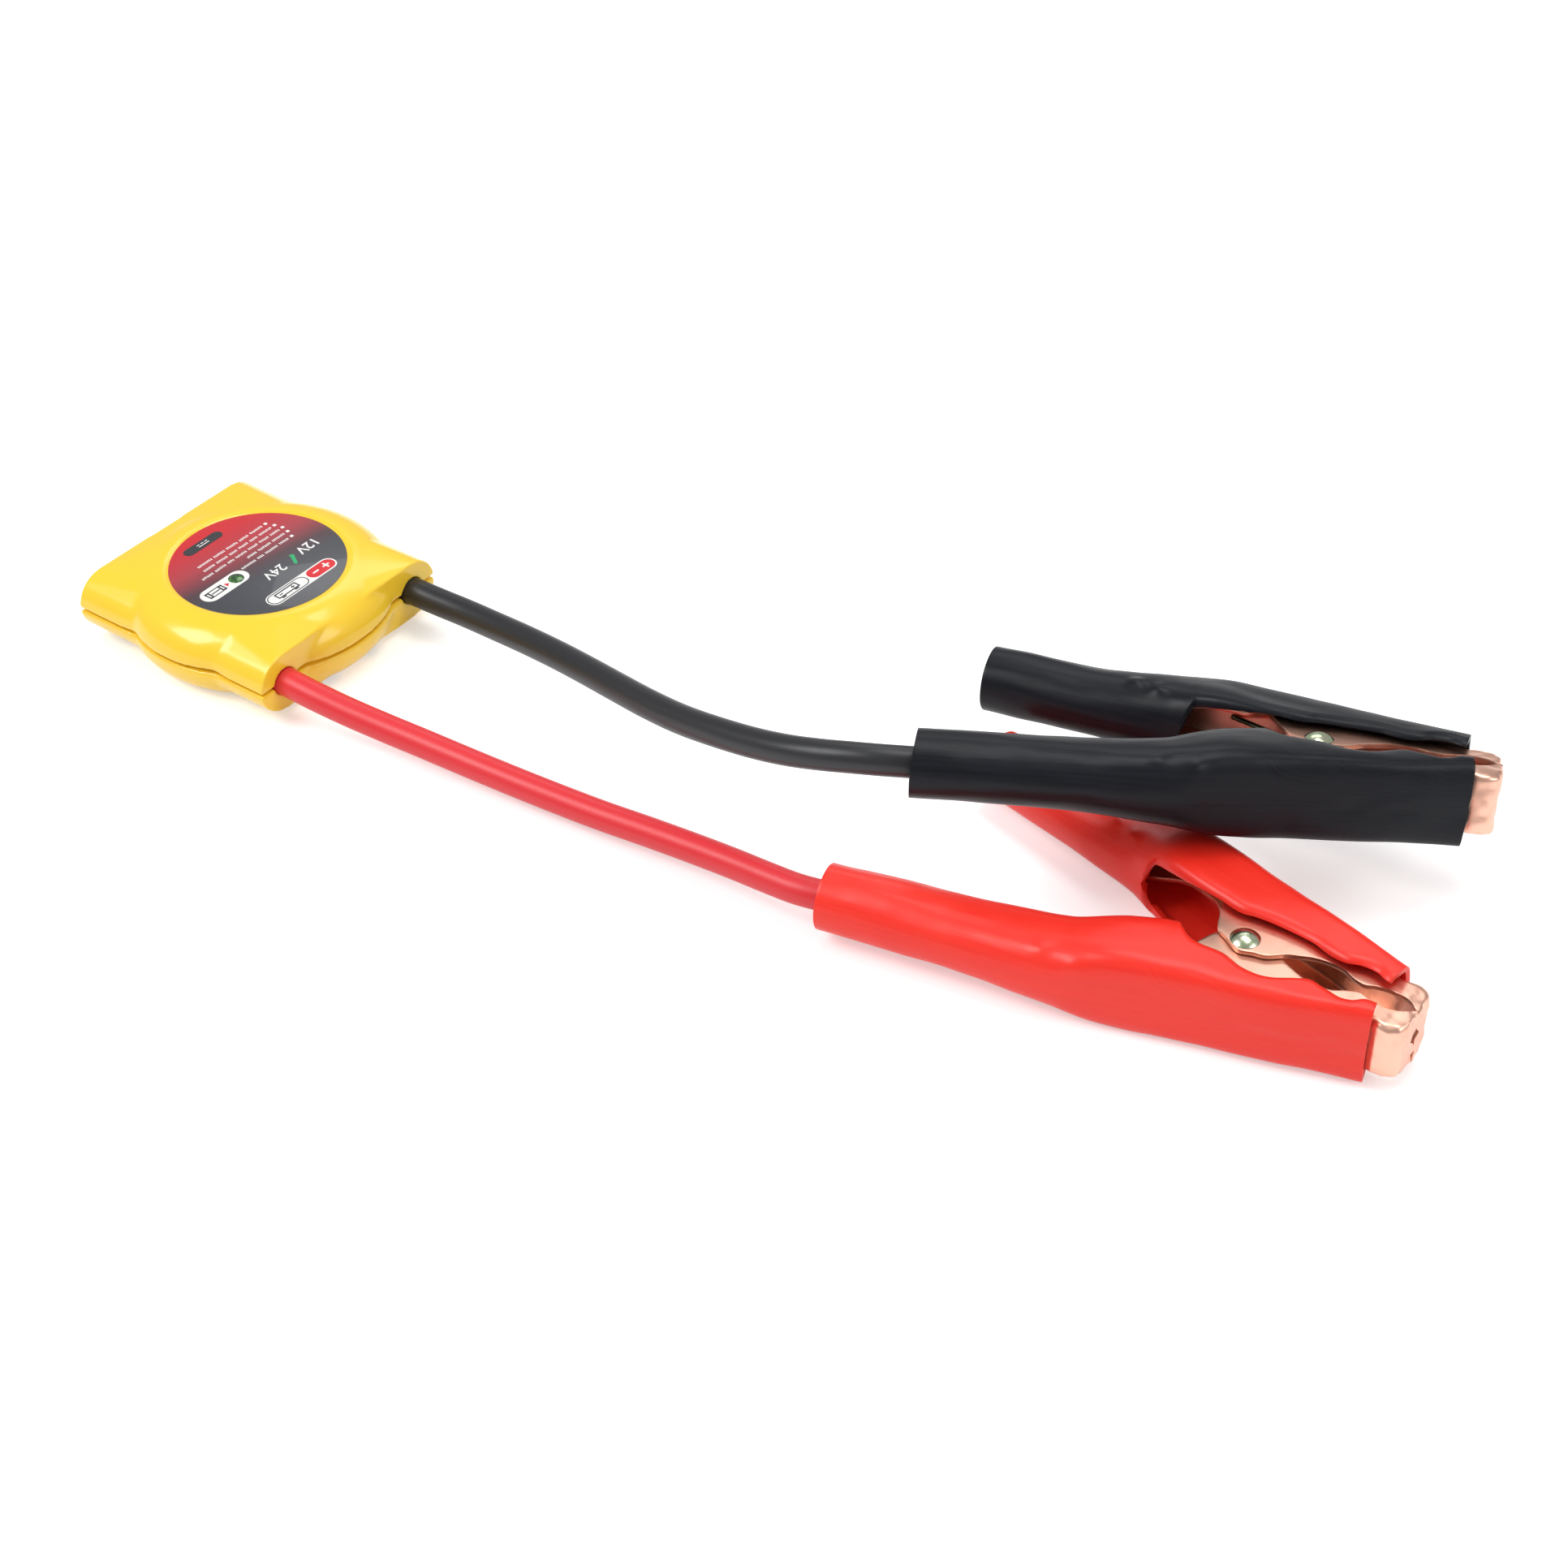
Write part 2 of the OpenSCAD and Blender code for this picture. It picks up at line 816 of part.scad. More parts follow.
module rivet_head() {
    ball_r = (head_r * head_r + head_h * head_h) / (2 * head_h);
    translate([0, 0, free_half_w + head_play])
        intersection() {
            cylinder(r = head_r, h = head_h + 1);
            translate([0, 0, head_h - ball_r])
                sphere(r = ball_r, $fn = 64);
        }
}

module pivot_rivet() {
    cylinder(d = rivet_d, h = 2 * (free_half_w + head_play) + eps,
        center = true);
    rivet_head();
    mirror([0, 0, 1])
        rivet_head();
}

module torsion_spring() {
    tube_along(spring_path, wire_d / 2, 6, [0, 0, 1]);
}

module sleeve(length, mouth) {
    n = sleeve_rings;
    skin = n * sleeve_sides;
    steps = [for (i = [0 : n - 1]) length * i / (n - 1)];
    difference() {
        polyhedron(
            points = concat(
                [for (s = steps) each sleeve_ring(s, 0)],
                [for (s = steps) each sleeve_ring(s, sleeve_wall)]
            ),
            faces = concat(
                skin_faces(0, n, sleeve_sides, true),
                skin_faces(skin, n, sleeve_sides, false),
                annulus_faces(0, skin, sleeve_sides, true),
                annulus_faces(skin - sleeve_sides, 2 * skin - sleeve_sides,
                    sleeve_sides, false)
            )
        );
        linear_extrude(4 * free_half_w, center = true)
            polygon(concat(mouth, [[42, -20], [-34, -20]]));
    }
}

module cable_sleeve() {
    mirror([0, 1, 0])
        sleeve(cable_sleeve_l, CABLE_MOUTH);
}

module free_sleeve(length) {
    sleeve(length, FREE_MOUTH);
}

module lead_crimp() {
    from = on_lever(crimp_from, 0.4);
    mirror([0, 1, 0])
        translate([from.x, from.y, 0])
            rotate([0, 0, 180 - half_angle])
                rotate([0, 90, 0])
                    cylinder(r = 5.4, h = crimp_to - crimp_from);
}

module red_cable_lever() {
    color(copper)
        at_red()
            cable_lever();
}

module red_free_lever() {
    color(copper)
        at_red()
            free_lever();
}

module red_pivot_rivet() {
    color(zinc)
        at_red()
            pivot_rivet();
}

module red_torsion_spring() {
    color(zinc)
        at_red()
            torsion_spring();
}

module red_cable_sleeve() {
    color(red_pvc)
        at_red()
            cable_sleeve();
}

module red_free_sleeve() {
    color(red_pvc)
        at_red()
            free_sleeve(red_free_sleeve_l);
}

module red_lead_crimp() {
    color(copper)
        at_red()
            lead_crimp();
}

module black_cable_lever() {
    color(copper)
        at_black()
            cable_lever();
}

module black_free_lever() {
    color(copper)
        at_black()
            free_lever();
}

module black_pivot_rivet() {
    color(zinc)
        at_black()
            pivot_rivet();
}

module black_torsion_spring() {
    color(zinc)
        at_black()
            torsion_spring();
}

module black_cable_sleeve() {
    color(black_pvc)
        at_black()
            cable_sleeve();
}

module black_free_sleeve() {
    color(black_pvc)
        at_black()
            free_sleeve(black_free_sleeve_l);
}

module black_lead_crimp() {
    color(copper)
        at_black()
            lead_crimp();
}

housing_top();
housing_bottom();
label();
light_window();
status_led();
circuit_board();
varistor_discs();
transient_diodes();
glass_fuse();
board_resistors();
red_lug();
black_lug();
terminal_screws();
lead_saddle();
saddle_screws();
housing_screws();
red_lead_end();
black_lead_end();
red_lead();
black_lead();
red_cable_lever();
red_free_lever();
red_pivot_rivet();
red_torsion_spring();
red_cable_sleeve();
red_free_sleeve();
red_lead_crimp();
black_cable_lever();
black_free_lever();
black_pivot_rivet();
black_torsion_spring();
black_cable_sleeve();
black_free_sleeve();
black_lead_crimp();
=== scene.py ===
import json
import math
import random

import bmesh
import bpy
from mathutils import Matrix, Vector, noise
from mathutils.bvhtree import BVHTree


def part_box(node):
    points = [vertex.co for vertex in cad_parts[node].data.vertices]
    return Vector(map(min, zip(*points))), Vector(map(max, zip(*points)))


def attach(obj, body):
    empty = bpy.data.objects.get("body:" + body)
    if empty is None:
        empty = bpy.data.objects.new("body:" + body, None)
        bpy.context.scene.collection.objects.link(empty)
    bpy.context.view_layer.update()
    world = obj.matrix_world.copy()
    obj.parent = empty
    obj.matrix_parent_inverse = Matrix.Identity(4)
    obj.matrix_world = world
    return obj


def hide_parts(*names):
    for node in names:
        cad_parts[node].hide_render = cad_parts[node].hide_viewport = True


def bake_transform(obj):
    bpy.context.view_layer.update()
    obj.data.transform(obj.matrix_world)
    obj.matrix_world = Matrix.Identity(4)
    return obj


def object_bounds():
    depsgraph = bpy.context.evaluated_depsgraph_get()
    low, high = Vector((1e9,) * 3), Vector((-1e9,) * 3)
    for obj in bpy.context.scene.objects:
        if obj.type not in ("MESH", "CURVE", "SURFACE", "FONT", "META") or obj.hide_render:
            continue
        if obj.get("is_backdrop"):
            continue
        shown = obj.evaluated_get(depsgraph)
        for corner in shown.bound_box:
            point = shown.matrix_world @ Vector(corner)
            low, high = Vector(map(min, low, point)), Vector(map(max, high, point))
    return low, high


# A clamp-on surge protector for a vehicle battery: a two-shell housing with a
# round label, two leads and two sprung clamps in PVC sleeves.
#
# Shapes are made in millimetres and scaled to metres as each piece is finished.
# Clamp pieces are made in the clamp's own frame, with the rivet at the origin,
# X towards the nose and Z along the rivet, and are laid where the frame's
# joints and mounts put them.

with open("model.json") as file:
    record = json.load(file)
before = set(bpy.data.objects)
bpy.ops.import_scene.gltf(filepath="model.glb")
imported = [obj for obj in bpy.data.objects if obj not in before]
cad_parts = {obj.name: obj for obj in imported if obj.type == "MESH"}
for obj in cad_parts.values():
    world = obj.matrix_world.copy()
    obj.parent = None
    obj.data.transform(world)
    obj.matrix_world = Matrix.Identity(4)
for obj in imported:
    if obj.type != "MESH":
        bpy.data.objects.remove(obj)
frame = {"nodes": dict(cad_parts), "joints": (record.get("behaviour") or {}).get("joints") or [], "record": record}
cad_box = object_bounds()
scene = bpy.context.scene
MM = 0.001
# Corners closer than this are one corner, in millimetres
JOIN = 0.0005
# Cutters that go right through a piece reach this far from its middle
THROUGH = 60
UPRIGHT = Matrix.Identity(4)
MIRRORED = Matrix.Scale(-1, 4, (0, 1, 0))

# ------------------------------------------------------------------ camera

CAMERA_AT = (0.4925, -0.4340, 0.4692)
CAMERA_LOOK = Vector((-0.4484, 0.6273, -0.6367))
camera_data = bpy.data.cameras.new("camera")
camera_data.lens = 63.35
camera_data.sensor_width = 36
camera = bpy.data.objects.new("camera", camera_data)
camera.location = CAMERA_AT
camera.rotation_euler = CAMERA_LOOK.to_track_quat("-Z", "Y").to_euler()
scene.collection.objects.link(camera)
scene.camera = camera

# ---------------------------------------------------------------- finishes


class Term:
    """An output socket that takes part in arithmetic."""

    def __init__(self, finish, socket):
        self.finish = finish
        self.socket = socket

    def calc(self, operation, *terms):
        return self.finish.add("ShaderNodeMath", {"operation": operation}, dict(enumerate(terms)))

    def __add__(self, other):
        return self.calc("ADD", self, other)

    def __sub__(self, other):
        return self.calc("SUBTRACT", self, other)

    def __rsub__(self, other):
        return self.calc("SUBTRACT", other, self)

    def __mul__(self, other):
        return self.calc("MULTIPLY", self, other)

    def __truediv__(self, other):
        return self.calc("DIVIDE", self, other)

    __radd__ = __add__
    __rmul__ = __mul__


class Finish:
    """One material and the nodes that lead to its shader."""

    def __init__(self, name, base, roughness, **constants):
        self.material = bpy.data.materials.new(name)
        self.material.use_nodes = True
        self.tree = self.material.node_tree
        self.shader = self.tree.nodes["Principled BSDF"]
        self.feed("Base Color", (*base, 1) if isinstance(base, tuple) else base)
        self.feed("Roughness", roughness)
        for socket, value in constants.items():
            self.feed(socket.replace("_", " ").title().replace("Ior", "IOR"), value)

    def link(self, socket, value):
        if isinstance(value, Term):
            self.tree.links.new(value.socket, socket)
        else:
            socket.default_value = value

    def feed(self, socket, value):
        self.link(self.shader.inputs[socket], value)

    def add(self, kind, settings, links, output=0):
        node = self.tree.nodes.new(kind)
        for key, value in settings.items():
            if key == "stops":
                set_stops(node.color_ramp, value)
            else:
                setattr(node, key, value)
        for key, value in links.items():
            self.link(node.inputs[key], value)
        return Term(self, node.outputs[output])

    def place(self):
        return self.add("ShaderNodeTexCoord", {}, {}, output="Object")

    def unwrapped(self, along, around):
        """The piece's own UV map, with its two directions scaled apart."""
        uv = self.add("ShaderNodeTexCoord", {}, {}, output="UV")
        return self.add("ShaderNodeMapping", {}, {"Vector": uv, "Scale": (along, around, 1)})

    def axes(self, vector):
        return [self.add("ShaderNodeSeparateXYZ", {}, {0: vector}, output=i) for i in range(3)]

    def speckle(self, vector, scale, detail=2.0, roughness=0.5):
        links = {"Vector": vector, "Scale": scale, "Detail": detail, "Roughness": roughness}
        return self.add("ShaderNodeTexNoise", {}, links)

    def ramp(self, value, *stops):
        return self.add("ShaderNodeValToRGB", {"stops": stops}, {0: value})

    def between(self, value, low, high):
        """0 where value is under low, 1 where it is over high."""
        settings = {"clamp": True}
        links = {"Value": value, "From Min": low, "From Max": high}
        return self.add("ShaderNodeMapRange", settings, links)

    def mix(self, factor, first, second):
        settings = {"data_type": "RGBA"}
        links = {0: factor, 6: opaque(first), 7: opaque(second)}
        return self.add("ShaderNodeMix", settings, links, output=2)

    def bump(self, height, distance, strength=1.0):
        links = {"Height": height, "Distance": distance, "Strength": strength}
        self.feed("Normal", self.add("ShaderNodeBump", {}, links))


def opaque(colour):
    return (*colour, 1) if isinstance(colour, tuple) and len(colour) == 3 else colour


def set_stops(ramp, stops):
    while len(ramp.elements) < len(stops):
        ramp.elements.new(1)
    for element, (position, colour) in zip(ramp.elements, stops):
        element.position = position
        element.color = opaque(colour)


def housing_plastic():
    finish = Finish("housing_plastic", (0.98, 0.68, 0.045), 0.3, ior=1.52, coat_weight=0.15)
    place = finish.place()
    cloud = finish.speckle(place, 60)
    finish.feed("Base Color", finish.mix(cloud, (0.98, 0.65, 0.038), (0.96, 0.62, 0.033)))
    finish.feed("Roughness", 0.19 + 0.08 * finish.speckle(place, 350))
    finish.bump(finish.speckle(place, 1800, 3), 0.00002, 0.35)
    return finish.material


def soft_pvc(name, light, dark, roughness, streak, ior):
    """Soft PVC tube with drawing lines along it."""
    finish = Finish(name, light, roughness, ior=ior, subsurface_weight=0.06)
    finish.feed("Subsurface Scale", 0.002)
    lines = finish.speckle(finish.unwrapped(3, 46), 1, 3, 0.6)
    fine = finish.speckle(finish.unwrapped(5, 170), 1, 2)
    cloud = finish.speckle(finish.place(), 45, 3)
    shade = finish.between(lines * 0.6 + cloud * 0.4, 0.35, 0.65)
    finish.feed("Base Color", finish.mix(shade, dark, light))
    finish.feed("Roughness", roughness - 0.05 + streak * lines + 0.06 * cloud)
    finish.bump(lines * 0.7 + fine * 0.3, 0.00012, 0.5)
    return finish.material


def jacket(name, light, dark):
    """Extruded cable jacket, smooth along its length."""
    finish = Finish(name, light, 0.36, ior=1.5)
    lines = finish.speckle(finish.unwrapped(4, 14), 1, 3)
    grain = finish.speckle(finish.place(), 900, 2)
    finish.feed("Base Color", finish.mix(lines, dark, light))
    finish.feed("Roughness", 0.3 + 0.12 * lines + 0.05 * grain)
    finish.bump(lines * 0.6 + grain * 0.4, 0.00006, 0.5)
    return finish.material


def copper_plate():
    """Thin copper plating over pressed steel, with a fine grain and a little tarnish."""
    finish = Finish("copper_plate", (0.93, 0.58, 0.45), 0.3, metallic=1.0)
    place = finish.place()
    cloud = finish.speckle(place, 140, 4, 0.6)
    grain = finish.speckle(place, 1500, 3)
    tarnish = finish.between(cloud, 0.55, 0.8)
    finish.feed("Base Color", finish.mix(tarnish * 0.4, (0.91, 0.53, 0.4), (0.68, 0.32, 0.22)))
    finish.feed("Roughness", 0.24 + 0.16 * cloud + 0.06 * grain)
    finish.bump(cloud * 0.75 + grain * 0.25, 0.00018, 0.4)
    return finish.material


def zinc_steel():
    """Zinc plating with a yellow-green passivation that shifts in patches."""
    finish = Finish("zinc_steel", (0.62, 0.66, 0.5), 0.2, metallic=1.0)
    place = finish.place()
    film = finish.speckle(place, 420, 3)
    tint = finish.ramp(
        film,
        (0.3, (0.78, 0.8, 0.68)),
        (0.5, (0.55, 0.66, 0.42)),
        (0.7, (0.72, 0.66, 0.55)),
    )
    finish.feed("Base Color", tint)
    finish.feed("Roughness", 0.16 + 0.16 * finish.speckle(place, 1300))
    finish.bump(finish.speckle(place, 2200), 0.00003, 0.4)
    return finish.material


def label_film():
    """Printed film: red that runs into dark grey towards the leads."""
    finish = Finish("label_film", (0.3, 0.05, 0.05), 0.3, coat_weight=0.3)
    place = finish.place()
    x, y, _ = finish.axes(place)
    run = finish.between(x - 0.18 * y, -0.021, 0.006)
    tone = finish.ramp(
        run,
        (0.0, (0.62, 0.012, 0.022)),
        (0.45, (0.42, 0.045, 0.06)),
        (0.8, (0.085, 0.045, 0.055)),
        (1.0, (0.055, 0.057, 0.068)),
    )
    finish.feed("Base Color", tone)
    finish.feed("Roughness", 0.24 + 0.12 * finish.speckle(place, 500))
    finish.bump(finish.speckle(place, 1500, 2), 0.00001, 0.3)
    return finish.material


def ink(name, colour):
    finish = Finish(name, colour, 0.35)
    wear = finish.speckle(finish.place(), 900, 2)
    darker = tuple(0.82 * part for part in colour)
    finish.feed("Base Color", finish.mix(wear * 0.5, colour, darker))
    return finish.material


def light_lens():
    """Green epoxy, clouded inside."""
    finish = Finish("light_lens", (0.03, 0.16, 0.04), 0.12, coat_weight=0.6)
    place = finish.place()
    glow = finish.between(finish.speckle(place, 650, 2), 0.4, 0.7)
    finish.feed("Base Color", finish.mix(glow, (0.012, 0.06, 0.016), (0.1, 0.3, 0.06)))
    return finish.material


def plain(name, light, dark, roughness, scale, **constants):
    """A finish whose colour drifts a little between two shades, with a fine grain."""
    finish = Finish(name, light, roughness, **constants)
    place = finish.place()
    cloud = finish.speckle(place, scale, 3)
    grain = finish.speckle(place, 12 * scale, 2)
    finish.feed("Base Color", finish.mix(cloud, light, dark))
    finish.feed("Roughness", roughness + 0.12 * (grain - 0.5))
    finish.bump(grain, 0.00003, 0.4)
    return finish.material


def banded(name, body, band, spacing, roughness):
    """A dipped part with rings of colour across it."""
    finish = Finish(name, body, roughness)
    x, _, _ = finish.axes(finish.place())
    wave = finish.add("ShaderNodeMath", {"operation": "PINGPONG"}, {0: x, 1: spacing})
    ring = finish.between(wave / spacing, 0.62, 0.7)
    finish.feed("Base Color", finish.mix(ring, body, band))
    finish.bump(finish.speckle(finish.place(), 900, 2), 0.00003, 0.4)
    return finish.material


YELLOW = housing_plastic()
RED_SLEEVE = soft_pvc("red_sleeve_pvc", (0.96, 0.036, 0.02), (0.9, 0.024, 0.013), 0.3, 0.14, 1.46)
BLACK_SLEEVE = soft_pvc(
    "black_sleeve_pvc", (0.01, 0.0115, 0.016), (0.005, 0.006, 0.009), 0.3, 0.16, 1.3
)
RED_JACKET = jacket("red_jacket", (0.8, 0.034, 0.045), (0.7, 0.022, 0.03))
BLACK_JACKET = jacket("black_jacket", (0.022, 0.023, 0.027), (0.012, 0.012, 0.015))
COPPER = copper_plate()
ZINC = zinc_steel()
LABEL = label_film()
LENS = light_lens()
WHITE_INK = ink("white_ink", (0.86, 0.86, 0.84))
DARK_INK = ink("dark_ink", (0.035, 0.036, 0.042))
RED_INK = ink("red_ink", (0.7, 0.02, 0.03))
GREEN_INK = ink("green_ink", (0.03, 0.42, 0.16))
BOARD = plain("board_laminate", (0.03, 0.2, 0.07), (0.02, 0.13, 0.05), 0.4, 120)
COATING = plain(
    "varistor_coating", (0.03, 0.12, 0.42), (0.02, 0.08, 0.3), 0.3, 150, coat_weight=0.4
)
MOULDED = plain("diode_plastic", (0.03, 0.03, 0.033), (0.02, 0.02, 0.022), 0.55, 200)
GLASS = plain(
    "fuse_glass", (0.82, 0.86, 0.86), (0.7, 0.74, 0.74), 0.12, 90, transmission_weight=0.5
)
DIPPED = banded("resistor_coating", (0.55, 0.4, 0.22), (0.3, 0.05, 0.03), 0.0012, 0.35)
TINNED = plain("tinned_metal", (0.78, 0.76, 0.7), (0.62, 0.6, 0.55), 0.3, 300, metallic=1.0)

# ------------------------------------------------------------ making pieces


def shaped_grid(rows, columns, place):
    """A sheet whose corners place(along, across) puts, with both from 0 to 1."""
    bm = bmesh.new()
    bm.loops.layers.uv.new("UVMap")
    bmesh.ops.create_grid(bm, x_segments=rows, y_segments=columns, size=0.5, calc_uvs=True)
    for corner in bm.verts:
        corner.co = place(corner.co.x + 0.5, corner.co.y + 0.5)
    bmesh.ops.remove_doubles(bm, verts=bm.verts, dist=JOIN)
    return bm


def turned(profile, steps=96):
    """A solid of revolution about Z from points of (radius, height)."""
    bm = bmesh.new()
    corners = [bm.verts.new((r, 0, z)) for r, z in profile]
    edges = [bm.edges.new(pair) for pair in zip(corners, corners[1:])]
    bmesh.ops.spin(
        bm, geom=corners + edges, axis=(0, 0, 1), cent=(0, 0, 0),
        angle=math.tau, steps=steps, use_merge=True,
    )
    bmesh.ops.remove_doubles(bm, verts=bm.verts, dist=JOIN)
    bmesh.ops.recalc_face_normals(bm, faces=bm.faces)
    return bm


def arc(x, y, radius, start, sweep, steps):
    """Points on an arc, both ends included."""
    turns = [start + sweep * i / steps for i in range(steps + 1)]
    return [(x + radius * math.cos(turn), y + radius * math.sin(turn)) for turn in turns]


def post(radius, low, high, at=(0, 0), steps=64):
    """An upright cylinder."""
    bm = bmesh.new()
    place = Matrix.Translation((*at, (low + high) / 2))
    bmesh.ops.create_cone(
        bm, cap_ends=True, segments=steps, radius1=radius, radius2=radius,
        depth=high - low, matrix=place,
    )
    return bm


def shown(name, bm, finish):
    """Turns a bmesh into an object and uses it up."""
    mesh = bpy.data.meshes.new(name)
    bm.to_mesh(mesh)
    bm.free()
    mesh.shade_smooth()
    mesh.materials.append(finish)
    made = bpy.data.objects.new(name, mesh)
    scene.collection.objects.link(made)
    return made


def taken(made):
    """Turns an object, with its modifiers, back into a bmesh and removes it."""
    bpy.context.view_layer.update()
    seen = made.evaluated_get(bpy.context.evaluated_depsgraph_get())
    bm = bmesh.new()
    bm.from_mesh(seen.to_mesh())
    seen.to_mesh_clear()
    mesh = made.data
    bpy.data.objects.remove(made)
    bpy.data.meshes.remove(mesh)
    return bm


def modified(bm, kind, **settings):
    made = shown("work", bm, YELLOW)
    modifier = made.modifiers.new(kind, kind)
    for key, value in settings.items():
        setattr(modifier, key, value)
    return taken(made)


def combined(bm, tool, operation):
    """What a Boolean operation makes of two solids, which are used up."""
    other = shown("tool", tool, YELLOW)
    result = modified(bm, "BOOLEAN", object=other, operation=operation, solver="MANIFOLD")
    bpy.data.objects.remove(other)
    return result


def walled(bm, wall, rim):
    """Gives an open sheet its wall, inwards, and rounds the wall's edges."""
    bmesh.ops.recalc_face_normals(bm, faces=bm.faces)
    bm = modified(bm, "SOLIDIFY", thickness=wall, offset=-1, use_even_offset=True)
    sharp = math.radians(50)
    return modified(bm, "BEVEL", width=rim, segments=2, limit_method="ANGLE", angle_limit=sharp)


def finished(name, bm, body, finish, stands_for, place=UPRIGHT, crease=None):
    """Lays a piece in metres, hangs it on what it rides on, gives it its finish and hides the parts it stands for.
    """
    bmesh.ops.transform(bm, matrix=Matrix.Scale(MM, 4) @ place, verts=bm.verts)
    if place.determinant() < 0:
        bmesh.ops.reverse_faces(bm, faces=bm.faces)
    made = shown(name, bm, finish)
    if crease is not None:
        made.data.set_sharp_from_angle(angle=math.radians(crease))
    if body:
        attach(made, body)
    if stands_for:
        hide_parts(*stands_for)
    return made


def catmull(before, start, end, after, t):
    """The point at t, from 0 to 1, between start and end on a smooth curve."""
    bend = 2 * before - 5 * start + 4 * end - after
    twist = 3 * start - before - 3 * end + after
    return 0.5 * (2 * start + (end - before) * t + bend * t * t + twist * t * t * t)


def curve_at(knots, t):
    """The point at t, from 0 to 1, on the smooth curve through all the knots."""
    spans = len(knots) - 1
    i = min(int(t * spans), spans - 1)
    return catmull(
        knots[max(i - 1, 0)], knots[i], knots[i + 1], knots[min(i + 2, spans)], t * spans - i
    )


def table_at(rows, key):
    """The row of values at key, read smoothly between rows that start with their key."""
    last = len(rows) - 2
    i = max((n for n in range(last + 1) if rows[n][0] <= key), default=0)
    t = (key - rows[i][0]) / (rows[i + 1][0] - rows[i][0])
    near = [rows[max(i - 1, 0)], rows[i], rows[i + 1], rows[min(i + 2, last + 1)]]
    return [catmull(*values, t) for values in zip(*near)]


def tube(points, radius, sides):
    """A round tube along points, without twist, closed at both ends."""
    last = len(points) - 1
    ahead = [
        (points[min(i + 1, last)] - points[max(i - 1, 0)]).normalized() for i in range(last + 1)
    ]
    side = Vector((0, 0, 1))
    frames = []
    for direction in ahead:
        side = (side - direction * side.dot(direction)).normalized()
        frames.append((side, direction.cross(side)))

    def place(along, across):
        i = round(along * last)
        turn = math.tau * across
        return points[i] + radius * (math.cos(turn) * frames[i][0] + math.sin(turn) * frames[i][1])

    bm = shaped_grid(last, sides, place)
    bmesh.ops.holes_fill(bm, edges=[edge for edge in bm.edges if edge.is_boundary], sides=0)
    bmesh.ops.recalc_face_normals(bm, faces=bm.faces)
    return bm


# -------------------------------------------------------------------- cords

LEAD_D = 0.008
LEAD_STEPS = 6
RED_ROUTE = [
    (0.0337, -0.026, 0.0113), (0.043, -0.0257, 0.0106), (0.054, -0.0243, 0.0091),
    (0.066, -0.0225, 0.0078), (0.079, -0.0208, 0.0069), (0.092, -0.0194, 0.0062),
    (0.106, -0.0182, 0.0059), (0.12, -0.017, 0.0058), (0.135, -0.0158, 0.0061),
    (0.149, -0.0146, 0.0068), (0.163, -0.0138, 0.0077), (0.176, -0.0136, 0.0088),
    (0.187, -0.0138, 0.0098), (0.196, -0.0136, 0.0105), (0.2036, -0.0121, 0.0108),
    (0.21, -0.0105, 0.0109), (0.2163, -0.0089, 0.011),
]
BLACK_ROUTE = [
    (0.0337, 0.026, 0.0113), (0.043, 0.0262, 0.0113), (0.054, 0.026, 0.0119),
    (0.066, 0.0246, 0.0134), (0.079, 0.0223, 0.0157), (0.093, 0.0192, 0.0184),
    (0.106, 0.0158, 0.021), (0.12, 0.0116, 0.0241), (0.133, 0.0078, 0.027),
    (0.146, 0.0045, 0.0301), (0.159, 0.0018, 0.0338), (0.172, 0.0001, 0.0373),
    (0.183, -0.0004, 0.0403), (0.1925, 0.0005, 0.0427), (0.2005, 0.0024, 0.0443),
    (0.2075, 0.0051, 0.045), (0.2147, 0.0094, 0.0448), (0.22, 0.013, 0.0443),
    (0.2252, 0.0166, 0.0437),
]


def lead(name, route, finish):
    """A jacketed lead from the housing into the sleeve of its clamp."""
    knots = [Vector(point) / MM for point in route]
    steps = LEAD_STEPS * (len(knots) - 1)
    points = [curve_at(knots, i / steps) for i in range(steps + 1)]
    bm = tube(points, LEAD_D / MM / 2, 40)
    made = finished(name, bm, "root", finish, [name.replace("_jacket", "")], crease=60)
    path = [point * MM for point in points]
    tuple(route[0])


lead("red_lead_jacket", RED_ROUTE, RED_JACKET)
lead("black_lead_jacket", BLACK_ROUTE, BLACK_JACKET)

# ------------------------------------------------------------------ housing

housing_low, housing_high = (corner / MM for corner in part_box("housing_top"))
label_low, label_high = (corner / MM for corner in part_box("label"))
lens_low, lens_high = (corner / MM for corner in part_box("light_window"))
HOUSING_T = housing_high.z
SEAM_Z = HOUSING_T / 2
SEAM_GAP = 2 * (housing_low.z - SEAM_Z)
HALF_SIDE = 35.25
SQUARE_X = -1.6
BULGE_R = housing_high.y
CROWN_R = 25.7
BASE_R = 28.6
EDGE_H = 1.0
EAR_W = 9.0
EAR_H = 8.8
WALL = 2.2
# How much smaller the crown is inside
INNER_CROWN = 1.8
LIP_H = 1.6
LIP_T = 1.4
LIP_PLAY = 0.15
LABEL_SINK = 0.35
LABEL_R = label_high.x
LIGHT_AT = ((lens_low.x + lens_high.x) / 2, (lens_low.y + lens_high.y) / 2)
LIGHT_R = (lens_high.x - lens_low.x) / 2
BED_PLAY = 0.2
BED_DEPTH = 0.05
LIGHT_PLAY = 0.1
LEAD_Y = 26.0
BORE_R = LEAD_D / MM / 2 + 0.05
BORE_BACK = 14
SCREW_HEAD_R = 3.1
REAR_SCREW = (-28.5, 28.5)
FRONT_SCREW = (30.4, 8)
REAR_HEAD_Z = -4.2
FRONT_HEAD_Z = -5.0
SCREW_BORE_END = 30
VOXEL = 0.42
# Reach and number of passes of the smoothing between the ears and the round body
EASINGS = ((2.2, 6), (1.1, 9))


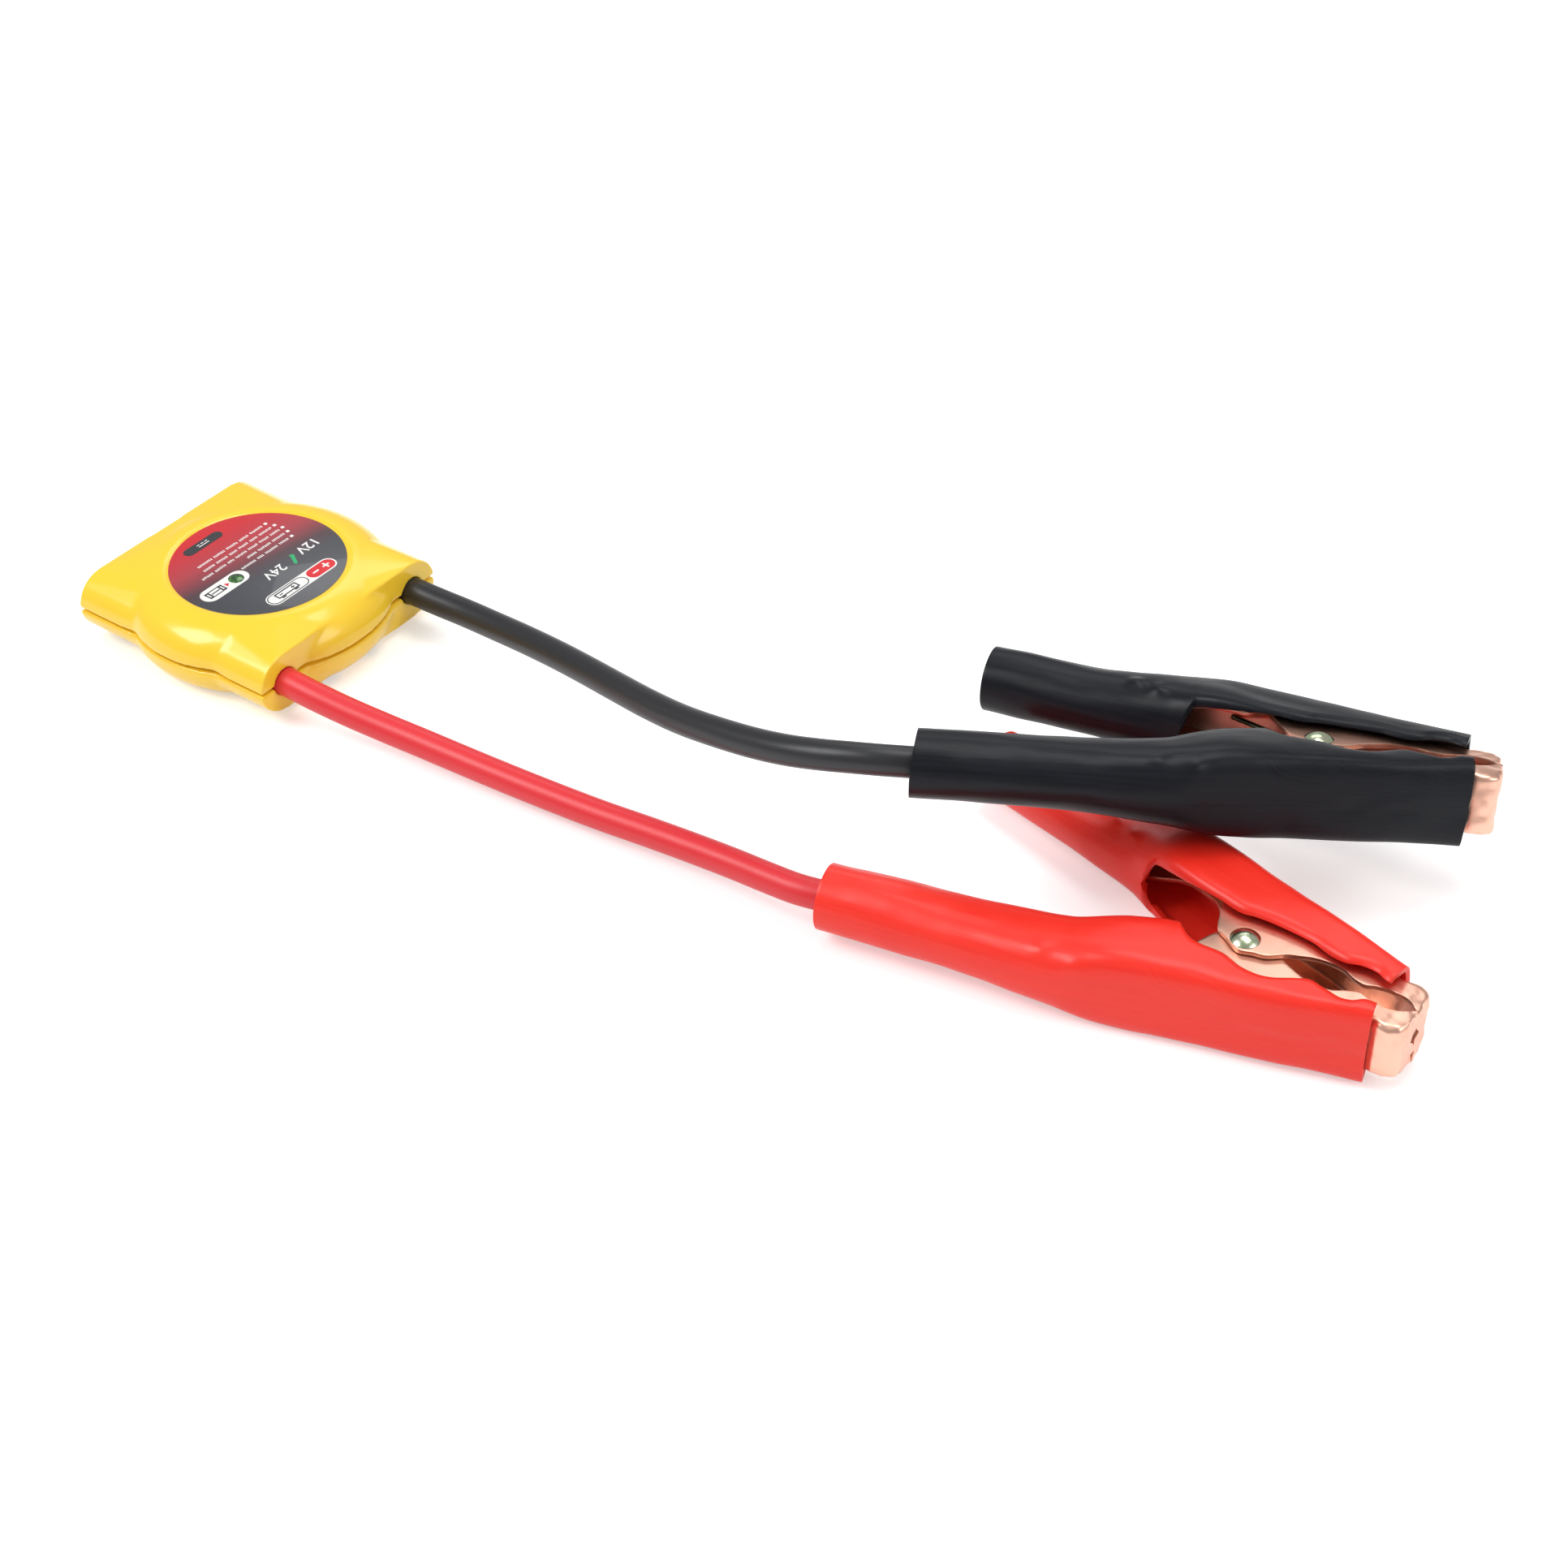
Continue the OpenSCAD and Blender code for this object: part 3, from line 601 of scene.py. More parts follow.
def bulge(radius, top_radius, height):
    """Half of the round body: a quarter ellipse between the seam and the crown."""
    quarter = arc(0, 0, 1, 0, 0.5 * math.pi, 40)
    dome = [
        (top_radius + (radius - top_radius) * out, EDGE_H + (height - EDGE_H) * up)
        for out, up in quarter
    ]
    return turned([(0, 0), (radius, 0), *dome, (0, height)], 192)


def ramps(top_radius):
    """The square body: ramps from the crown to rounded edges along X, above the seam."""
    bm = bmesh.new()
    along_x = Matrix.Diagonal((1, EAR_W, EAR_H, 1)) @ Matrix.Rotation(0.5 * math.pi, 4, "Y")
    for side in (-1, 1):
        bmesh.ops.create_cone(
            bm, cap_ends=True, segments=96, radius1=1, radius2=1, depth=2 * HALF_SIDE,
            matrix=Matrix.Translation((SQUARE_X, side * (HALF_SIDE - EAR_W), 0)) @ along_x,
        )
    crown = Matrix.Translation((0, 0, SEAM_Z))
    bmesh.ops.create_circle(bm, segments=128, radius=top_radius, matrix=crown)
    bmesh.ops.delete(bm, geom=bm.edges, context="EDGES_FACES")
    hull = bmesh.ops.convex_hull(bm, input=bm.verts)
    inside = hull["geom_interior"] + hull["geom_unused"]
    spare = {part for part in inside if isinstance(part, bmesh.types.BMVert)}
    bmesh.ops.delete(bm, geom=list(spare), context="VERTS")
    bmesh.ops.recalc_face_normals(bm, faces=bm.faces)
    return bm


def lead_bore(side):
    bm = bmesh.new()
    middle = Matrix.Translation(((BORE_BACK + THROUGH) / 2, side * LEAD_Y, 0))
    bmesh.ops.create_cone(
        bm, cap_ends=True, segments=64, radius1=BORE_R, radius2=BORE_R,
        depth=THROUGH - BORE_BACK, matrix=middle @ Matrix.Rotation(0.5 * math.pi, 4, "Y"),
    )
    return bm


def block(low, high):
    bm = bmesh.new()
    low, high = Vector(low), Vector(high)
    place = Matrix.Translation((low + high) / 2) @ Matrix.Diagonal((*(high - low), 1))
    bmesh.ops.create_cube(bm, size=1, matrix=place)
    return bm


def eased(bm, first, second, reach, passes):
    """Smooths a mesh where two surfaces that it follows meet."""
    near = []
    for corner in bm.verts:
        if max(first.find_nearest(corner.co)[3], second.find_nearest(corner.co)[3]) < reach:
            near.append(corner)
    for _ in range(passes):
        bmesh.ops.smooth_vert(
            bm, verts=near, factor=0.5, use_axis_x=True, use_axis_y=True, use_axis_z=True
        )


def lip():
    """The ring inside the seam that the other shell closes over."""
    outside = BULGE_R - WALL - LIP_PLAY
    ring_hole = post(outside - LIP_T, -2 * LIP_H, 2 * LIP_H, steps=128)
    return combined(post(outside, -LIP_H, LIP_H, steps=128), ring_hole, "DIFFERENCE")


def shell(top_radius, cutters, with_lip=False):
    """Half of the housing, from the seam plane up, less what cutters take away."""
    round_body = bulge(BULGE_R, top_radius, SEAM_Z)
    eared_body = ramps(top_radius)
    first = BVHTree.FromBMesh(round_body)
    second = BVHTree.FromBMesh(eared_body)
    bm = combined(round_body, eared_body, "UNION")
    hollow = bulge(BULGE_R - WALL, top_radius - INNER_CROWN, SEAM_Z - WALL)
    bm = combined(bm, hollow, "DIFFERENCE")
    under_seam = block((-THROUGH, -THROUGH, -THROUGH), (THROUGH, THROUGH, SEAM_GAP / 2))
    bm = combined(bm, under_seam, "DIFFERENCE")
    if with_lip:
        bm = combined(bm, lip(), "UNION")
    for side in (-1, 1):
        bm = combined(bm, lead_bore(side), "DIFFERENCE")
    for cutter in cutters:
        bm = combined(bm, cutter, "DIFFERENCE")
    bm = modified(bm, "REMESH", mode="VOXEL", voxel_size=VOXEL)
    for reach, passes in EASINGS:
        eased(bm, first, second, reach, passes)
    bmesh.ops.smooth_vert(
        bm, verts=bm.verts, factor=0.5, use_axis_x=True, use_axis_y=True, use_axis_z=True
    )
    return bm


def screw_cutters():
    for side in (-1, 1):
        for (x, y), head_z in ((REAR_SCREW, REAR_HEAD_Z), (FRONT_SCREW, FRONT_HEAD_Z)):
            yield post(SCREW_HEAD_R, -head_z, SCREW_BORE_END, (x, side * y))


seam_place = Matrix.Translation((0, 0, SEAM_Z))
bed_z = label_low.z - LABEL_SINK - SEAM_Z - BED_DEPTH
label_bed = post(LABEL_R + BED_PLAY, bed_z, THROUGH, steps=128)
light_hole = post(LIGHT_R + LIGHT_PLAY, 0, THROUGH, LIGHT_AT)
finished(
    "housing_upper_shell", shell(CROWN_R, [label_bed, light_hole]),
    "root", YELLOW, ["housing_top"], seam_place,
)
finished(
    "housing_lower_shell", shell(BASE_R, screw_cutters(), with_lip=True),
    "root", YELLOW, ["housing_bottom"],
    seam_place @ Matrix.Scale(-1, 4, (0, 0, 1)),
)

# -------------------------------------------------------------------- label

INK_T = 0.03
LABEL_TOP = label_high.z - LABEL_SINK
LABEL_EDGE = 0.12
LETTER_WEIGHT = 0.06
DOT = 1.0
STROKE_H = 0.85
STROKE_W = 0.34
STROKE_STEP = 0.62
WORD_GAP = 0.7
# Place across the label, start and end of each row of small print
PRINT_ROWS = (
    (-1.4, 13.5, -1.5), (-4.0, 14.6, 0.5), (-6.6, 15.2, -11.5), (-9.2, 14.6, -13.0),
    (-11.8, 13.6, -12.0),
)


def label_disc():
    bm = post(LABEL_R, label_low.z - LABEL_SINK, LABEL_TOP, steps=160)
    rim = [edge for edge in bm.edges if len(edge.link_faces) == 2 and edge.calc_face_angle() > 1]
    bmesh.ops.bevel(
        bm, geom=rim, offset=LABEL_EDGE, segments=3, profile=0.5, affect="EDGES", material=-1
    )
    return combined(bm, post(LIGHT_R + LIGHT_PLAY / 2, 0, THROUGH, LIGHT_AT), "DIFFERENCE")


def capsule(x, low, high, width, steps=16):
    """A rounded bar that runs along Y."""
    radius = width / 2
    low_end = arc(x, low + radius, radius, math.pi, math.pi, steps)
    return low_end + arc(x, high - radius, radius, 0, math.pi, steps)


def ring(x, y, radius, steps=40):
    return arc(x, y, radius, 0, math.tau, steps)[:-1]


def bar(x, y, width, length):
    """A rectangle with its middle at x, y, and its length along Y."""
    return [
        (x - width / 2, y - length / 2), (x + width / 2, y - length / 2),
        (x + width / 2, y + length / 2), (x - width / 2, y + length / 2),
    ]


def printed(name, loops, finish, level=0):
    """Ink on the label: closed outlines, each of which inside another cuts a hole."""
    flat = bpy.data.curves.new(name, "CURVE")
    flat.dimensions = "2D"
    flat.fill_mode = "BOTH"
    flat.extrude = INK_T / 2
    for loop in loops:
        spline = flat.splines.new("POLY")
        spline.points.add(len(loop) - 1)
        for point, (x, y) in zip(spline.points, loop):
            point.co = (x, y, 0, 1)
        spline.use_cyclic_u = True
    return inked(name, flat, finish, Matrix.Translation((0, 0, LABEL_TOP + INK_T * (level + 0.5))))


def inked(name, flat, finish, place):
    source = bpy.data.objects.new(name, flat)
    scene.collection.objects.link(source)
    bm = bmesh.new()
    bm.from_mesh(source.to_mesh())
    source.to_mesh_clear()
    bpy.data.objects.remove(source)
    bmesh.ops.remove_doubles(bm, verts=bm.verts, dist=JOIN)
    return finished(name, bm, "root", finish, [], place, crease=30)


def rating(name, text, at, size, finish):
    """Numerals that read along -Y."""
    flat = bpy.data.curves.new(name, "FONT")
    flat.body = text
    flat.size = size
    flat.align_x = "CENTER"
    flat.align_y = "CENTER"
    flat.offset = LETTER_WEIGHT
    flat.extrude = INK_T / 2
    turn = Matrix.Rotation(-0.5 * math.pi, 4, "Z")
    place = Matrix.Translation((*at, LABEL_TOP + INK_T / 2)) @ turn
    return inked(name, flat, finish, place)


def text_like_rows():
    """Rows of short strokes in words, where small print would be."""
    draw = random.Random(7)
    loops = []
    for x, start, end in PRINT_ROWS:
        loops.append(bar(x, start + 1.7 * DOT, DOT, DOT))
        y = start
        while y > end:
            for _ in range(draw.randint(4, 9)):
                loops.append(bar(x + draw.choice((0, 0, -0.08, 0.08)), y, STROKE_H, STROKE_W))
                y -= STROKE_STEP
            y -= WORD_GAP
    return loops


finished("label_disc", label_disc(), "root", LABEL, ["label"], crease=30)
pill_x = LIGHT_AT[0]
light_panel = [capsule(pill_x, -22.2, -5.2, 6.0), ring(*LIGHT_AT, LIGHT_R + 1.5 * LIGHT_PLAY)]
printed("light_panel", light_panel, WHITE_INK)
printed(
    "fuse_symbol",
    [
        bar(pill_x, -17.2, 3.0, 6.4), bar(pill_x, -17.2, 2.3, 3.4),
        bar(pill_x, -19.7, 1.8, 0.5), bar(pill_x, -14.7, 1.8, 0.5),
        bar(pill_x, -17.2, 0.4, 3.0),
    ],
    DARK_INK, 1,
)
arrow = [(pill_x - 0.9, -13.3), (pill_x + 0.9, -13.3), (pill_x, -12.0)]
printed("light_arrow", [arrow], RED_INK, 1)
printed("small_print_strokes", text_like_rows(), WHITE_INK)
panel_x = 16.4
printed("battery_panel", [capsule(panel_x, -12.8, 13.6, 5.4)], WHITE_INK)
printed("plus_panel", [capsule(panel_x, 3.2, 13.1, 4.4)], RED_INK, 1)
printed(
    "plus_and_minus",
    [
        bar(panel_x, 10.2, 2.6, 0.6), bar(panel_x, 10.95, 0.6, 0.9), bar(panel_x, 9.45, 0.6, 0.9),
        bar(panel_x, 6.2, 0.6, 2.2),
    ],
    WHITE_INK, 2,
)
printed(
    "battery_panel_line",
    [capsule(panel_x, -12.4, 2.4, 4.6), capsule(panel_x, -12.1, 2.1, 4.0)],
    DARK_INK, 1,
)
printed(
    "battery_symbol",
    [
        bar(panel_x - 0.3, -5.2, 2.5, 8.2), bar(panel_x - 0.3, -5.2, 1.6, 7.3),
        bar(panel_x + 1.25, -7.7, 0.5, 1.5), bar(panel_x + 1.25, -2.7, 0.5, 1.5),
        bar(panel_x - 0.3, -7.4, 0.35, 1.3), bar(panel_x - 0.3, -2.9, 0.35, 1.3),
        bar(panel_x + 0.12, -2.9, 0.4, 0.35), bar(panel_x - 0.72, -2.9, 0.4, 0.35),
    ],
    DARK_INK, 1,
)
printed("number_panel", [capsule(-19.2, -9.5, 4.8, 3.4)], DARK_INK)
printed(
    "direct_current_symbol",
    [bar(-18.8, -2.3, 0.3, 4.0), *(bar(-19.7, -2.3 + 1.5 * i, 0.3, 1.0) for i in (-1, 0, 1))],
    WHITE_INK, 1,
)
rating("rating_12", "12V", (5.6, 14.2), 5.0, WHITE_INK)
rating("rating_24", "24V", (6.9, -0.6), 4.8, WHITE_INK)
printed(
    "tick_mark",
    [[(4.6, 7.6), (5.4, 8.9), (6.0, 8.5), (9.4, 6.3), (8.9, 5.5), (5.6, 7.3)]],
    GREEN_INK,
)

# -------------------------------------------------------------------- light


LENS_EDGE_Z = lens_high.z - 0.5
LENS_RISE = 0.35


def lens():
    quarter = arc(0, 0, 1, 0, 0.5 * math.pi, 10)
    dome = [(LIGHT_R * out, LENS_EDGE_Z + LENS_RISE * up) for out, up in quarter]
    return turned([(0, lens_low.z), (LIGHT_R, lens_low.z), *dome], 48)


finished(
    "light_lens", lens(), "root", LENS, ["light_window"],
    Matrix.Translation((*LIGHT_AT, 0)), crease=50,
)

# ------------------------------------------------------------------- clamps

HALF_ANGLE = math.radians(12)
SLEEVE_TIP = (37, 7)
SHEET = 1.2
SHEET_EDGE = 0.22
JAW_HALF_W = 8.2
CABLE_HALF_W = 6.7
HANDLE_HALF_W = 5.0
RIVET_R = 2.5
TIGHT_FIT = 0.02
LOOSE_FIT = 0.06
HEAD_R = 3.7
HEAD_H = 1.5
HEAD_LIP = 0.15
HEAD_START = JAW_HALF_W + 0.1
WIRE_R = 0.75
COIL_R = 4.4
COIL_H = 7.2
COIL_TURNS = 3
LEG_END = (-21.5, 23.7)
LEG_Z = 2.3
LEG_BOW = 1.5
# How far out the free leg starts, and ends
SPRING_TWIST = (4, 12)
SLEEVE_WALL = 1.5
SLEEVE_EDGE = 0.3
CABLE_SLEEVE_L = 137
FREE_SLEEVE_L = {"red": 129.5, "black": 125.5}
# How far the cable sleeve's tail end runs past square on its outer side
TAIL_SLANT = {"red": 0, "black": 1.6}
CABLE_LEVER_L = 110
FREE_LEVER_L = 118


def on_lever(along, out):
    """A point given along and out from the line of the lever."""
    return Vector((
        SLEEVE_TIP[0] - along * math.cos(HALF_ANGLE) + out * math.sin(HALF_ANGLE),
        SLEEVE_TIP[1] + along * math.sin(HALF_ANGLE) + out * math.cos(HALF_ANGLE),
    ))


def lever_stations(length, pivot_half_w):
    """Outer edge, inner edge and half width of the channel, from the tail to the nose."""
    handle = [
        (on_lever(length, 4.7), on_lever(length, -3.6), HANDLE_HALF_W),
        (on_lever(101, 5.4), on_lever(101, -3.3), HANDLE_HALF_W),
        (on_lever(88, 6.2), on_lever(88, -3.3), HANDLE_HALF_W),
        (on_lever(76, 6.9), on_lever(76, -3.5), HANDLE_HALF_W),
        (on_lever(67, 6.7), on_lever(67, 2.2), HANDLE_HALF_W),
        (on_lever(60, 6.3), on_lever(60, 2.6), HANDLE_HALF_W),
        (on_lever(55.5, 6.0), on_lever(55.5, 1.6), HANDLE_HALF_W + 0.3),
    ]
    pivot = [
        (on_lever(along, out), Vector(inner), pivot_half_w)
        for along, out, inner in (
            (52, 5.7, (-13.8, 16.4)), (49, 5.5, (-11.2, 10.5)), (46.5, 5.4, (-9.3, 4.8)),
            (44, 5.2, (-7.4, 0.2)), (41.2, 5.0, (-4.1, -2)), (37.5, 4.8, (0, -4.3)),
            (33.5, 4.5, (4, -3.3)), (30, 4.3, (7.1, -2.4)),
            (26.5, 4.1, (10.7, 0.5)), (23.5, 3.95, (13.6, 1.8)), (20, 3.75, (17.1, 3.2)),
            (16.3, 3.5, (20.6, 3.7)),
        )
    ]
    step = JAW_HALF_W - pivot_half_w
    jaw = [
        (on_lever(along, out), Vector(inner), pivot_half_w + share * step)
        for along, out, inner, share in (
            (12.6, 3.2, (24.2, 3.4), 0.1), (9, 2.9, (27.6, 1.9), 0.4),
            (5.8, 2.6, (30.6, 1.4), 0.8), (3, 2.3, (33, 2.4), 1), (0.2, 2.05, (36.2, 3.1), 1),
        )
    ]
    nose = [
        (Vector(back), Vector(inner), JAW_HALF_W)
        for back, inner in (
            ((39.4, 9.35), (38.4, 3.1)), ((41.9, 9.1), (40.2, 2.7)), ((44, 7.9), (41.8, 2.0)),
            ((45, 6), (42.9, 1.2)), ((45.2, 3.8), (43.6, 0.7)), ((45.2, 1.8), (44, 0.4)),
            ((45.2, 0.15), (44.5, 0.15)),
        )
    ]
    return handle + pivot + jaw + nose


# What the cheek, bend, back, bend and cheek of a channel take of its grid
SECTION_SHARES = (0.28, 0.1, 0.24, 0.1, 0.28)


def channel_point(width, depth, bend, across):
    """A point round a U section, as (height from the inner edge, place across)."""
    cheek, web = depth - bend, 2 * (width - bend)
    part = 0
    while part < 4 and across > sum(SECTION_SHARES[: part + 1]) + 1e-6:
        part += 1
    t = min(max((across - sum(SECTION_SHARES[:part])) / SECTION_SHARES[part], 0), 1)
    if part == 0:
        return t * cheek, -width
    if part == 1:
        turn = 0.5 * math.pi * t
        return cheek + bend * math.sin(turn), -width + bend * (1 - math.cos(turn))
    if part == 2:
        return depth, -width + bend + t * web
    if part == 3:
        turn = 0.5 * math.pi * t
        return cheek + bend * math.cos(turn), width - bend * (1 - math.sin(turn))
    return (1 - t) * cheek, width


# Place across, depth and half width of the notches in the nose edge
NOTCHES = ((0.2, 1.7, 2.3), (-5.6, 1.0, 1.0), (5.6, 0.7, 0.7))
# The last share of a lever's length, which the notches pull back
NOTCHED_FROM = 0.9
# How long a lever would be with all its stations as close as at the nose
NOSE_PACE_L = 38
BEND_R = 1.9
NOSE_MIDDLE = Vector((30, 2))
# Where along the jaw the crinkles of the fold start and are full
WRINKLED_FROM = 33
WRINKLED_FULL = 41
WRINKLE_H = 0.5
WRINKLE_SCALE = 0.38
RIPPLE_H = 0.12
RIPPLE_SCALE = 0.16


def lever(length, pivot_half_w, bore, seed):
    """A pressed channel: cheeks and a back, folded round into a box at the nose."""
    stations = lever_stations(length, pivot_half_w)
    backs = [station[0] for station in stations]
    inners = [station[1] for station in stations]
    widths = [station[2] for station in stations]

    def place(along, across):
        first = curve_at(backs, along)
        width = curve_at(widths, along)
        depth = (first - curve_at(inners, along)).length
        bend = min(BEND_R, 0.6 * depth)
        up, z = channel_point(width, depth, bend, across)
        notch = max(reach * max(1 - abs(z - at) / half_w, 0) for at, reach, half_w in NOTCHES)
        share = max(along - NOTCHED_FROM, 0) / (1 - NOTCHED_FROM)
        along = along - notch * share / NOSE_PACE_L
        back, inner = curve_at(backs, along), curve_at(inners, along)
        spot = inner + (back - inner) * (up / depth)
        seat = Vector((spot.x, spot.y, z))
        near_nose = (spot.x - WRINKLED_FROM) / (WRINKLED_FULL - WRINKLED_FROM)
        near_nose = min(max(near_nose, 0), 1)
        crumple = noise.noise(seat * WRINKLE_SCALE + Vector((seed, 0, 0)))
        wrinkle = WRINKLE_H * near_nose * crumple
        flat = (spot - NOSE_MIDDLE).normalized() if near_nose else Vector((0, 0))
        ripple = RIPPLE_H * noise.noise(seat * RIPPLE_SCALE + Vector((0, seed, 0)))
        seat += Vector((flat.x, flat.y, 0.5 * math.copysign(1, z))) * wrinkle
        return seat + Vector((ripple * math.sin(HALF_ANGLE), ripple * math.cos(HALF_ANGLE), 0))

    rows = 6 * (len(stations) - 1)
    bm = walled(shaped_grid(rows, 50, place), SHEET, SHEET_EDGE)
    return combined(bm, post(bore, -THROUGH, THROUGH), "DIFFERENCE")


def rivet():
    """A shank with a domed head at each end."""
    ball_r = (HEAD_R ** 2 + HEAD_H ** 2) / (2 * HEAD_H)
    sweep = math.asin(HEAD_R / ball_r)
    ball_z = HEAD_START + HEAD_H - ball_r
    dome = [(out, ball_z + up) for up, out in arc(0, 0, ball_r, 0, sweep, 14)]
    underside = HEAD_START - TIGHT_FIT
    half = dome[1:] + [(HEAD_R - HEAD_LIP, underside), (RIVET_R, underside)]
    profile = [dome[0], *half, *((r, -z) for r, z in reversed(half)), (0, -dome[0][1])]
    return turned(profile, 72)


def spring_points():
    """A leg, the coil and the other leg."""
    reach = math.hypot(*LEG_END)
    leg = math.atan2(LEG_END[1], LEG_END[0]) - math.acos(COIL_R / reach)
    sweep = 2 * leg + math.tau * COIL_TURNS
    steps = 24 * COIL_TURNS
    flat = arc(0, 0, COIL_R, -leg, sweep, steps)
    coil = [Vector((x, y, COIL_H * (i / steps - 0.5))) for i, (x, y) in enumerate(flat)]
    low = Vector((LEG_END[0], -LEG_END[1], -LEG_Z))
    high = Vector((LEG_END[0], LEG_END[1], LEG_Z))
    middle_low = low / 2 + Vector((0, -LEG_BOW, -COIL_H / 4))
    middle_high = high / 2 + Vector((0, LEG_BOW, COIL_H / 4))
    return [low, middle_low, *coil, middle_high, high]


# Distance from the nose end, outer face, inner face, half width and squareness
SLEEVE_STATIONS = [
    (0, 4, -9, 12, 5), (20, 6.3, -9, 11.5, 5), (45, 7.7, -13.5, 12, 5), (62, 9.5, -11.5, 12, 4),
    (75, 11.2, -9.6, 10.3, 2.6), (95, 10.4, -9.6, 8.8, 2.1), (118, 9.5, -8.9, 8.7, 2),
    (137, 9, -8.2, 8.6, 2),
]
# Edge of the opening along the inner side of a sleeve
FREE_MOUTH = [
    (-34, 12.6), (-25, 9.6), (-17.4, 7.4), (-10, 6), (-7, 5.2), (-3.9, 4.9), (-1.3, 5.4),
    (3.1, 5.8), (7.7, 5.8), (12, 5.6), (15, 5.2), (18, 4.2), (20.5, 3.5), (24.4, 3.1),
    (28.2, 4.2), (32, 4.2), (35, 2.6), (38, 2.8), (42, 4.5),
]
CABLE_MOUTH = [
    (-34, 4), (-20, 4.6), (-14, 5.8), (-10.5, 8.6), (-7.3, 9.6), (-1, 9.4), (2, 10.4),
    (4.5, 11.4), (9.2, 11.6), (13, 10.2), (17.4, 7.2), (20.2, 5.9), (22.9, 6.6), (25.6, 7.3),
    (28.5, 8.1), (31.4, 7.4), (33.7, 5.2), (42, 5.2),
]
MOUTH_STEP = 0.5
# How far before the first point of its edge an opening closes
MOUTH_END = 2
CURL_DEPTH = 1.5
CURL_REACH = 3.2
# Most that an opening widens on each side, in radians for each millimetre
MOUTH_CORNER = 0.3
# Distance along, turn round and height of what shows through a sleeve
FREE_BUMPS = [(85.5, -0.45, 0.8), (79, -0.6, 0.7)]
CABLE_BUMPS = [(70, 0.9, 0.5), (79, 0.7, 0.4)]
BUMP_L = 2
BUMP_TURN = 0.17
# Depth, number round and length of the soft dents, and how they fade at the tail
DENTS = ((0.35, 1, 22), (0.12, 2, 8))
DENT_SPREAD = 1.3
DENTED_L = 12
LEAST_DENT = 0.3
RAGGED = 0.5
# A sleeve that goes nearly all the way round has no curled lips
CLOSED = 3.0


def edge_out(mouth, along):
    """How far out from the lever's line the edge of an opening lies."""
    low, high = -25.0, 15.0
    for _ in range(20):
        out = (low + high) / 2
        x, y = on_lever(along, out)
        line = table_at(mouth, min(max(x, mouth[0][0]), mouth[-1][0]))[1]
        low, high = (low, out) if y > line else (out, high)
    return out


def mouth_reaches(mouth):
    """How far round from its outer side a sleeve goes, at steps from its nose end."""
    reaches = []
    along = 0.0
    while along <= (SLEEVE_TIP[0] - mouth[0][0]) / math.cos(HALF_ANGLE) - MOUTH_END:
        _, outer, inner, width, square = table_at(SLEEVE_STATIONS, along)
        half = (outer - inner) / 2
        level = (edge_out(mouth, along) - (outer + inner) / 2) / half
        open_z = width * (1 - min(abs(level), 1) ** square) ** (1 / square)
        reaches.append(0.5 * math.pi - math.atan2(level * half, open_z) if level > -1 else math.pi)
        along += MOUTH_STEP
    reaches += 2 * [math.pi]
    for i in reversed(range(len(reaches) - 1)):
        reaches[i] = max(reaches[i], reaches[i + 1] - MOUTH_CORNER * MOUTH_STEP)
    return reaches


def sleeve(length, mouth, bumps, seed, slant=0):
    """A PVC tube over a handle, slit open along the jaw, that shows what it is drawn over."""
    drift = Vector((seed, 2.3 * seed, 0))
    reaches = mouth_reaches(mouth)

    def place(along, across):
        round_edge = Vector((math.cos(math.tau * across), math.sin(math.tau * across), seed))
        ragged = RAGGED * (1 - along) * noise.noise(round_edge)
        s = along * length + ragged - slant * along ** 4 * round_edge.x
        station = min(max(s, 0), SLEEVE_STATIONS[-1][0])
        _, outer, inner, width, square = table_at(SLEEVE_STATIONS, station)
        middle, half = (outer + inner) / 2, (outer - inner) / 2
        step = min(max(s, 0) / MOUTH_STEP, len(reaches) - 1.001)
        near = int(step)
        reach = reaches[near] + (reaches[near + 1] - reaches[near]) * (step - near)
        turn = 0.5 * math.pi + reach * (2 * across - 1)
        c, q = math.cos(turn), math.sin(turn)
        radius = (abs(c / width) ** square + abs(q / half) ** square) ** (-1 / square)
        round_place = Vector((c * DENT_SPREAD, q * DENT_SPREAD, 0)) + drift
        dent = 0
        for depth, often, dent_l in DENTS:
            dent += depth * noise.noise(round_place * often + Vector((0, 0, s / dent_l)))
        for s_at, turn_at, lift in bumps:
            away = ((s - s_at) / BUMP_L) ** 2 + ((turn - turn_at) / BUMP_TURN) ** 2
            dent += lift * math.exp(-away)
        radius += dent * min(1, (length - s) / DENTED_L + LEAST_DENT)
        if reach < CLOSED:
            from_lip = 2 * reach * min(across, 1 - across) * radius
            radius -= CURL_DEPTH * max(0, 1 - from_lip / CURL_REACH) ** 2
        spot = on_lever(s, middle + radius * q)
        return Vector((spot.x, spot.y, radius * c))

    return walled(shaped_grid(200, 72, place), SLEEVE_WALL, SLEEVE_EDGE)


def clamp_place(colour):
    """Where the clamp lies: its rivet, nose and axis, from the frame."""
    joint = next(j for j in frame["joints"] if j["name"] == colour + "_jaw")
    mount = next(m for m in frame["record"]["mounts"] if m["name"] == colour + "_jaws")
    up = Vector(joint["axis"]).normalized()
    nose = Vector(mount["axis"])
    nose = (nose - up * nose.dot(up)).normalized()
    turn = Matrix((nose, up.cross(nose), up)).transposed().to_4x4()
    return Matrix.Translation(Vector(joint["pos_m"]) / MM) @ turn


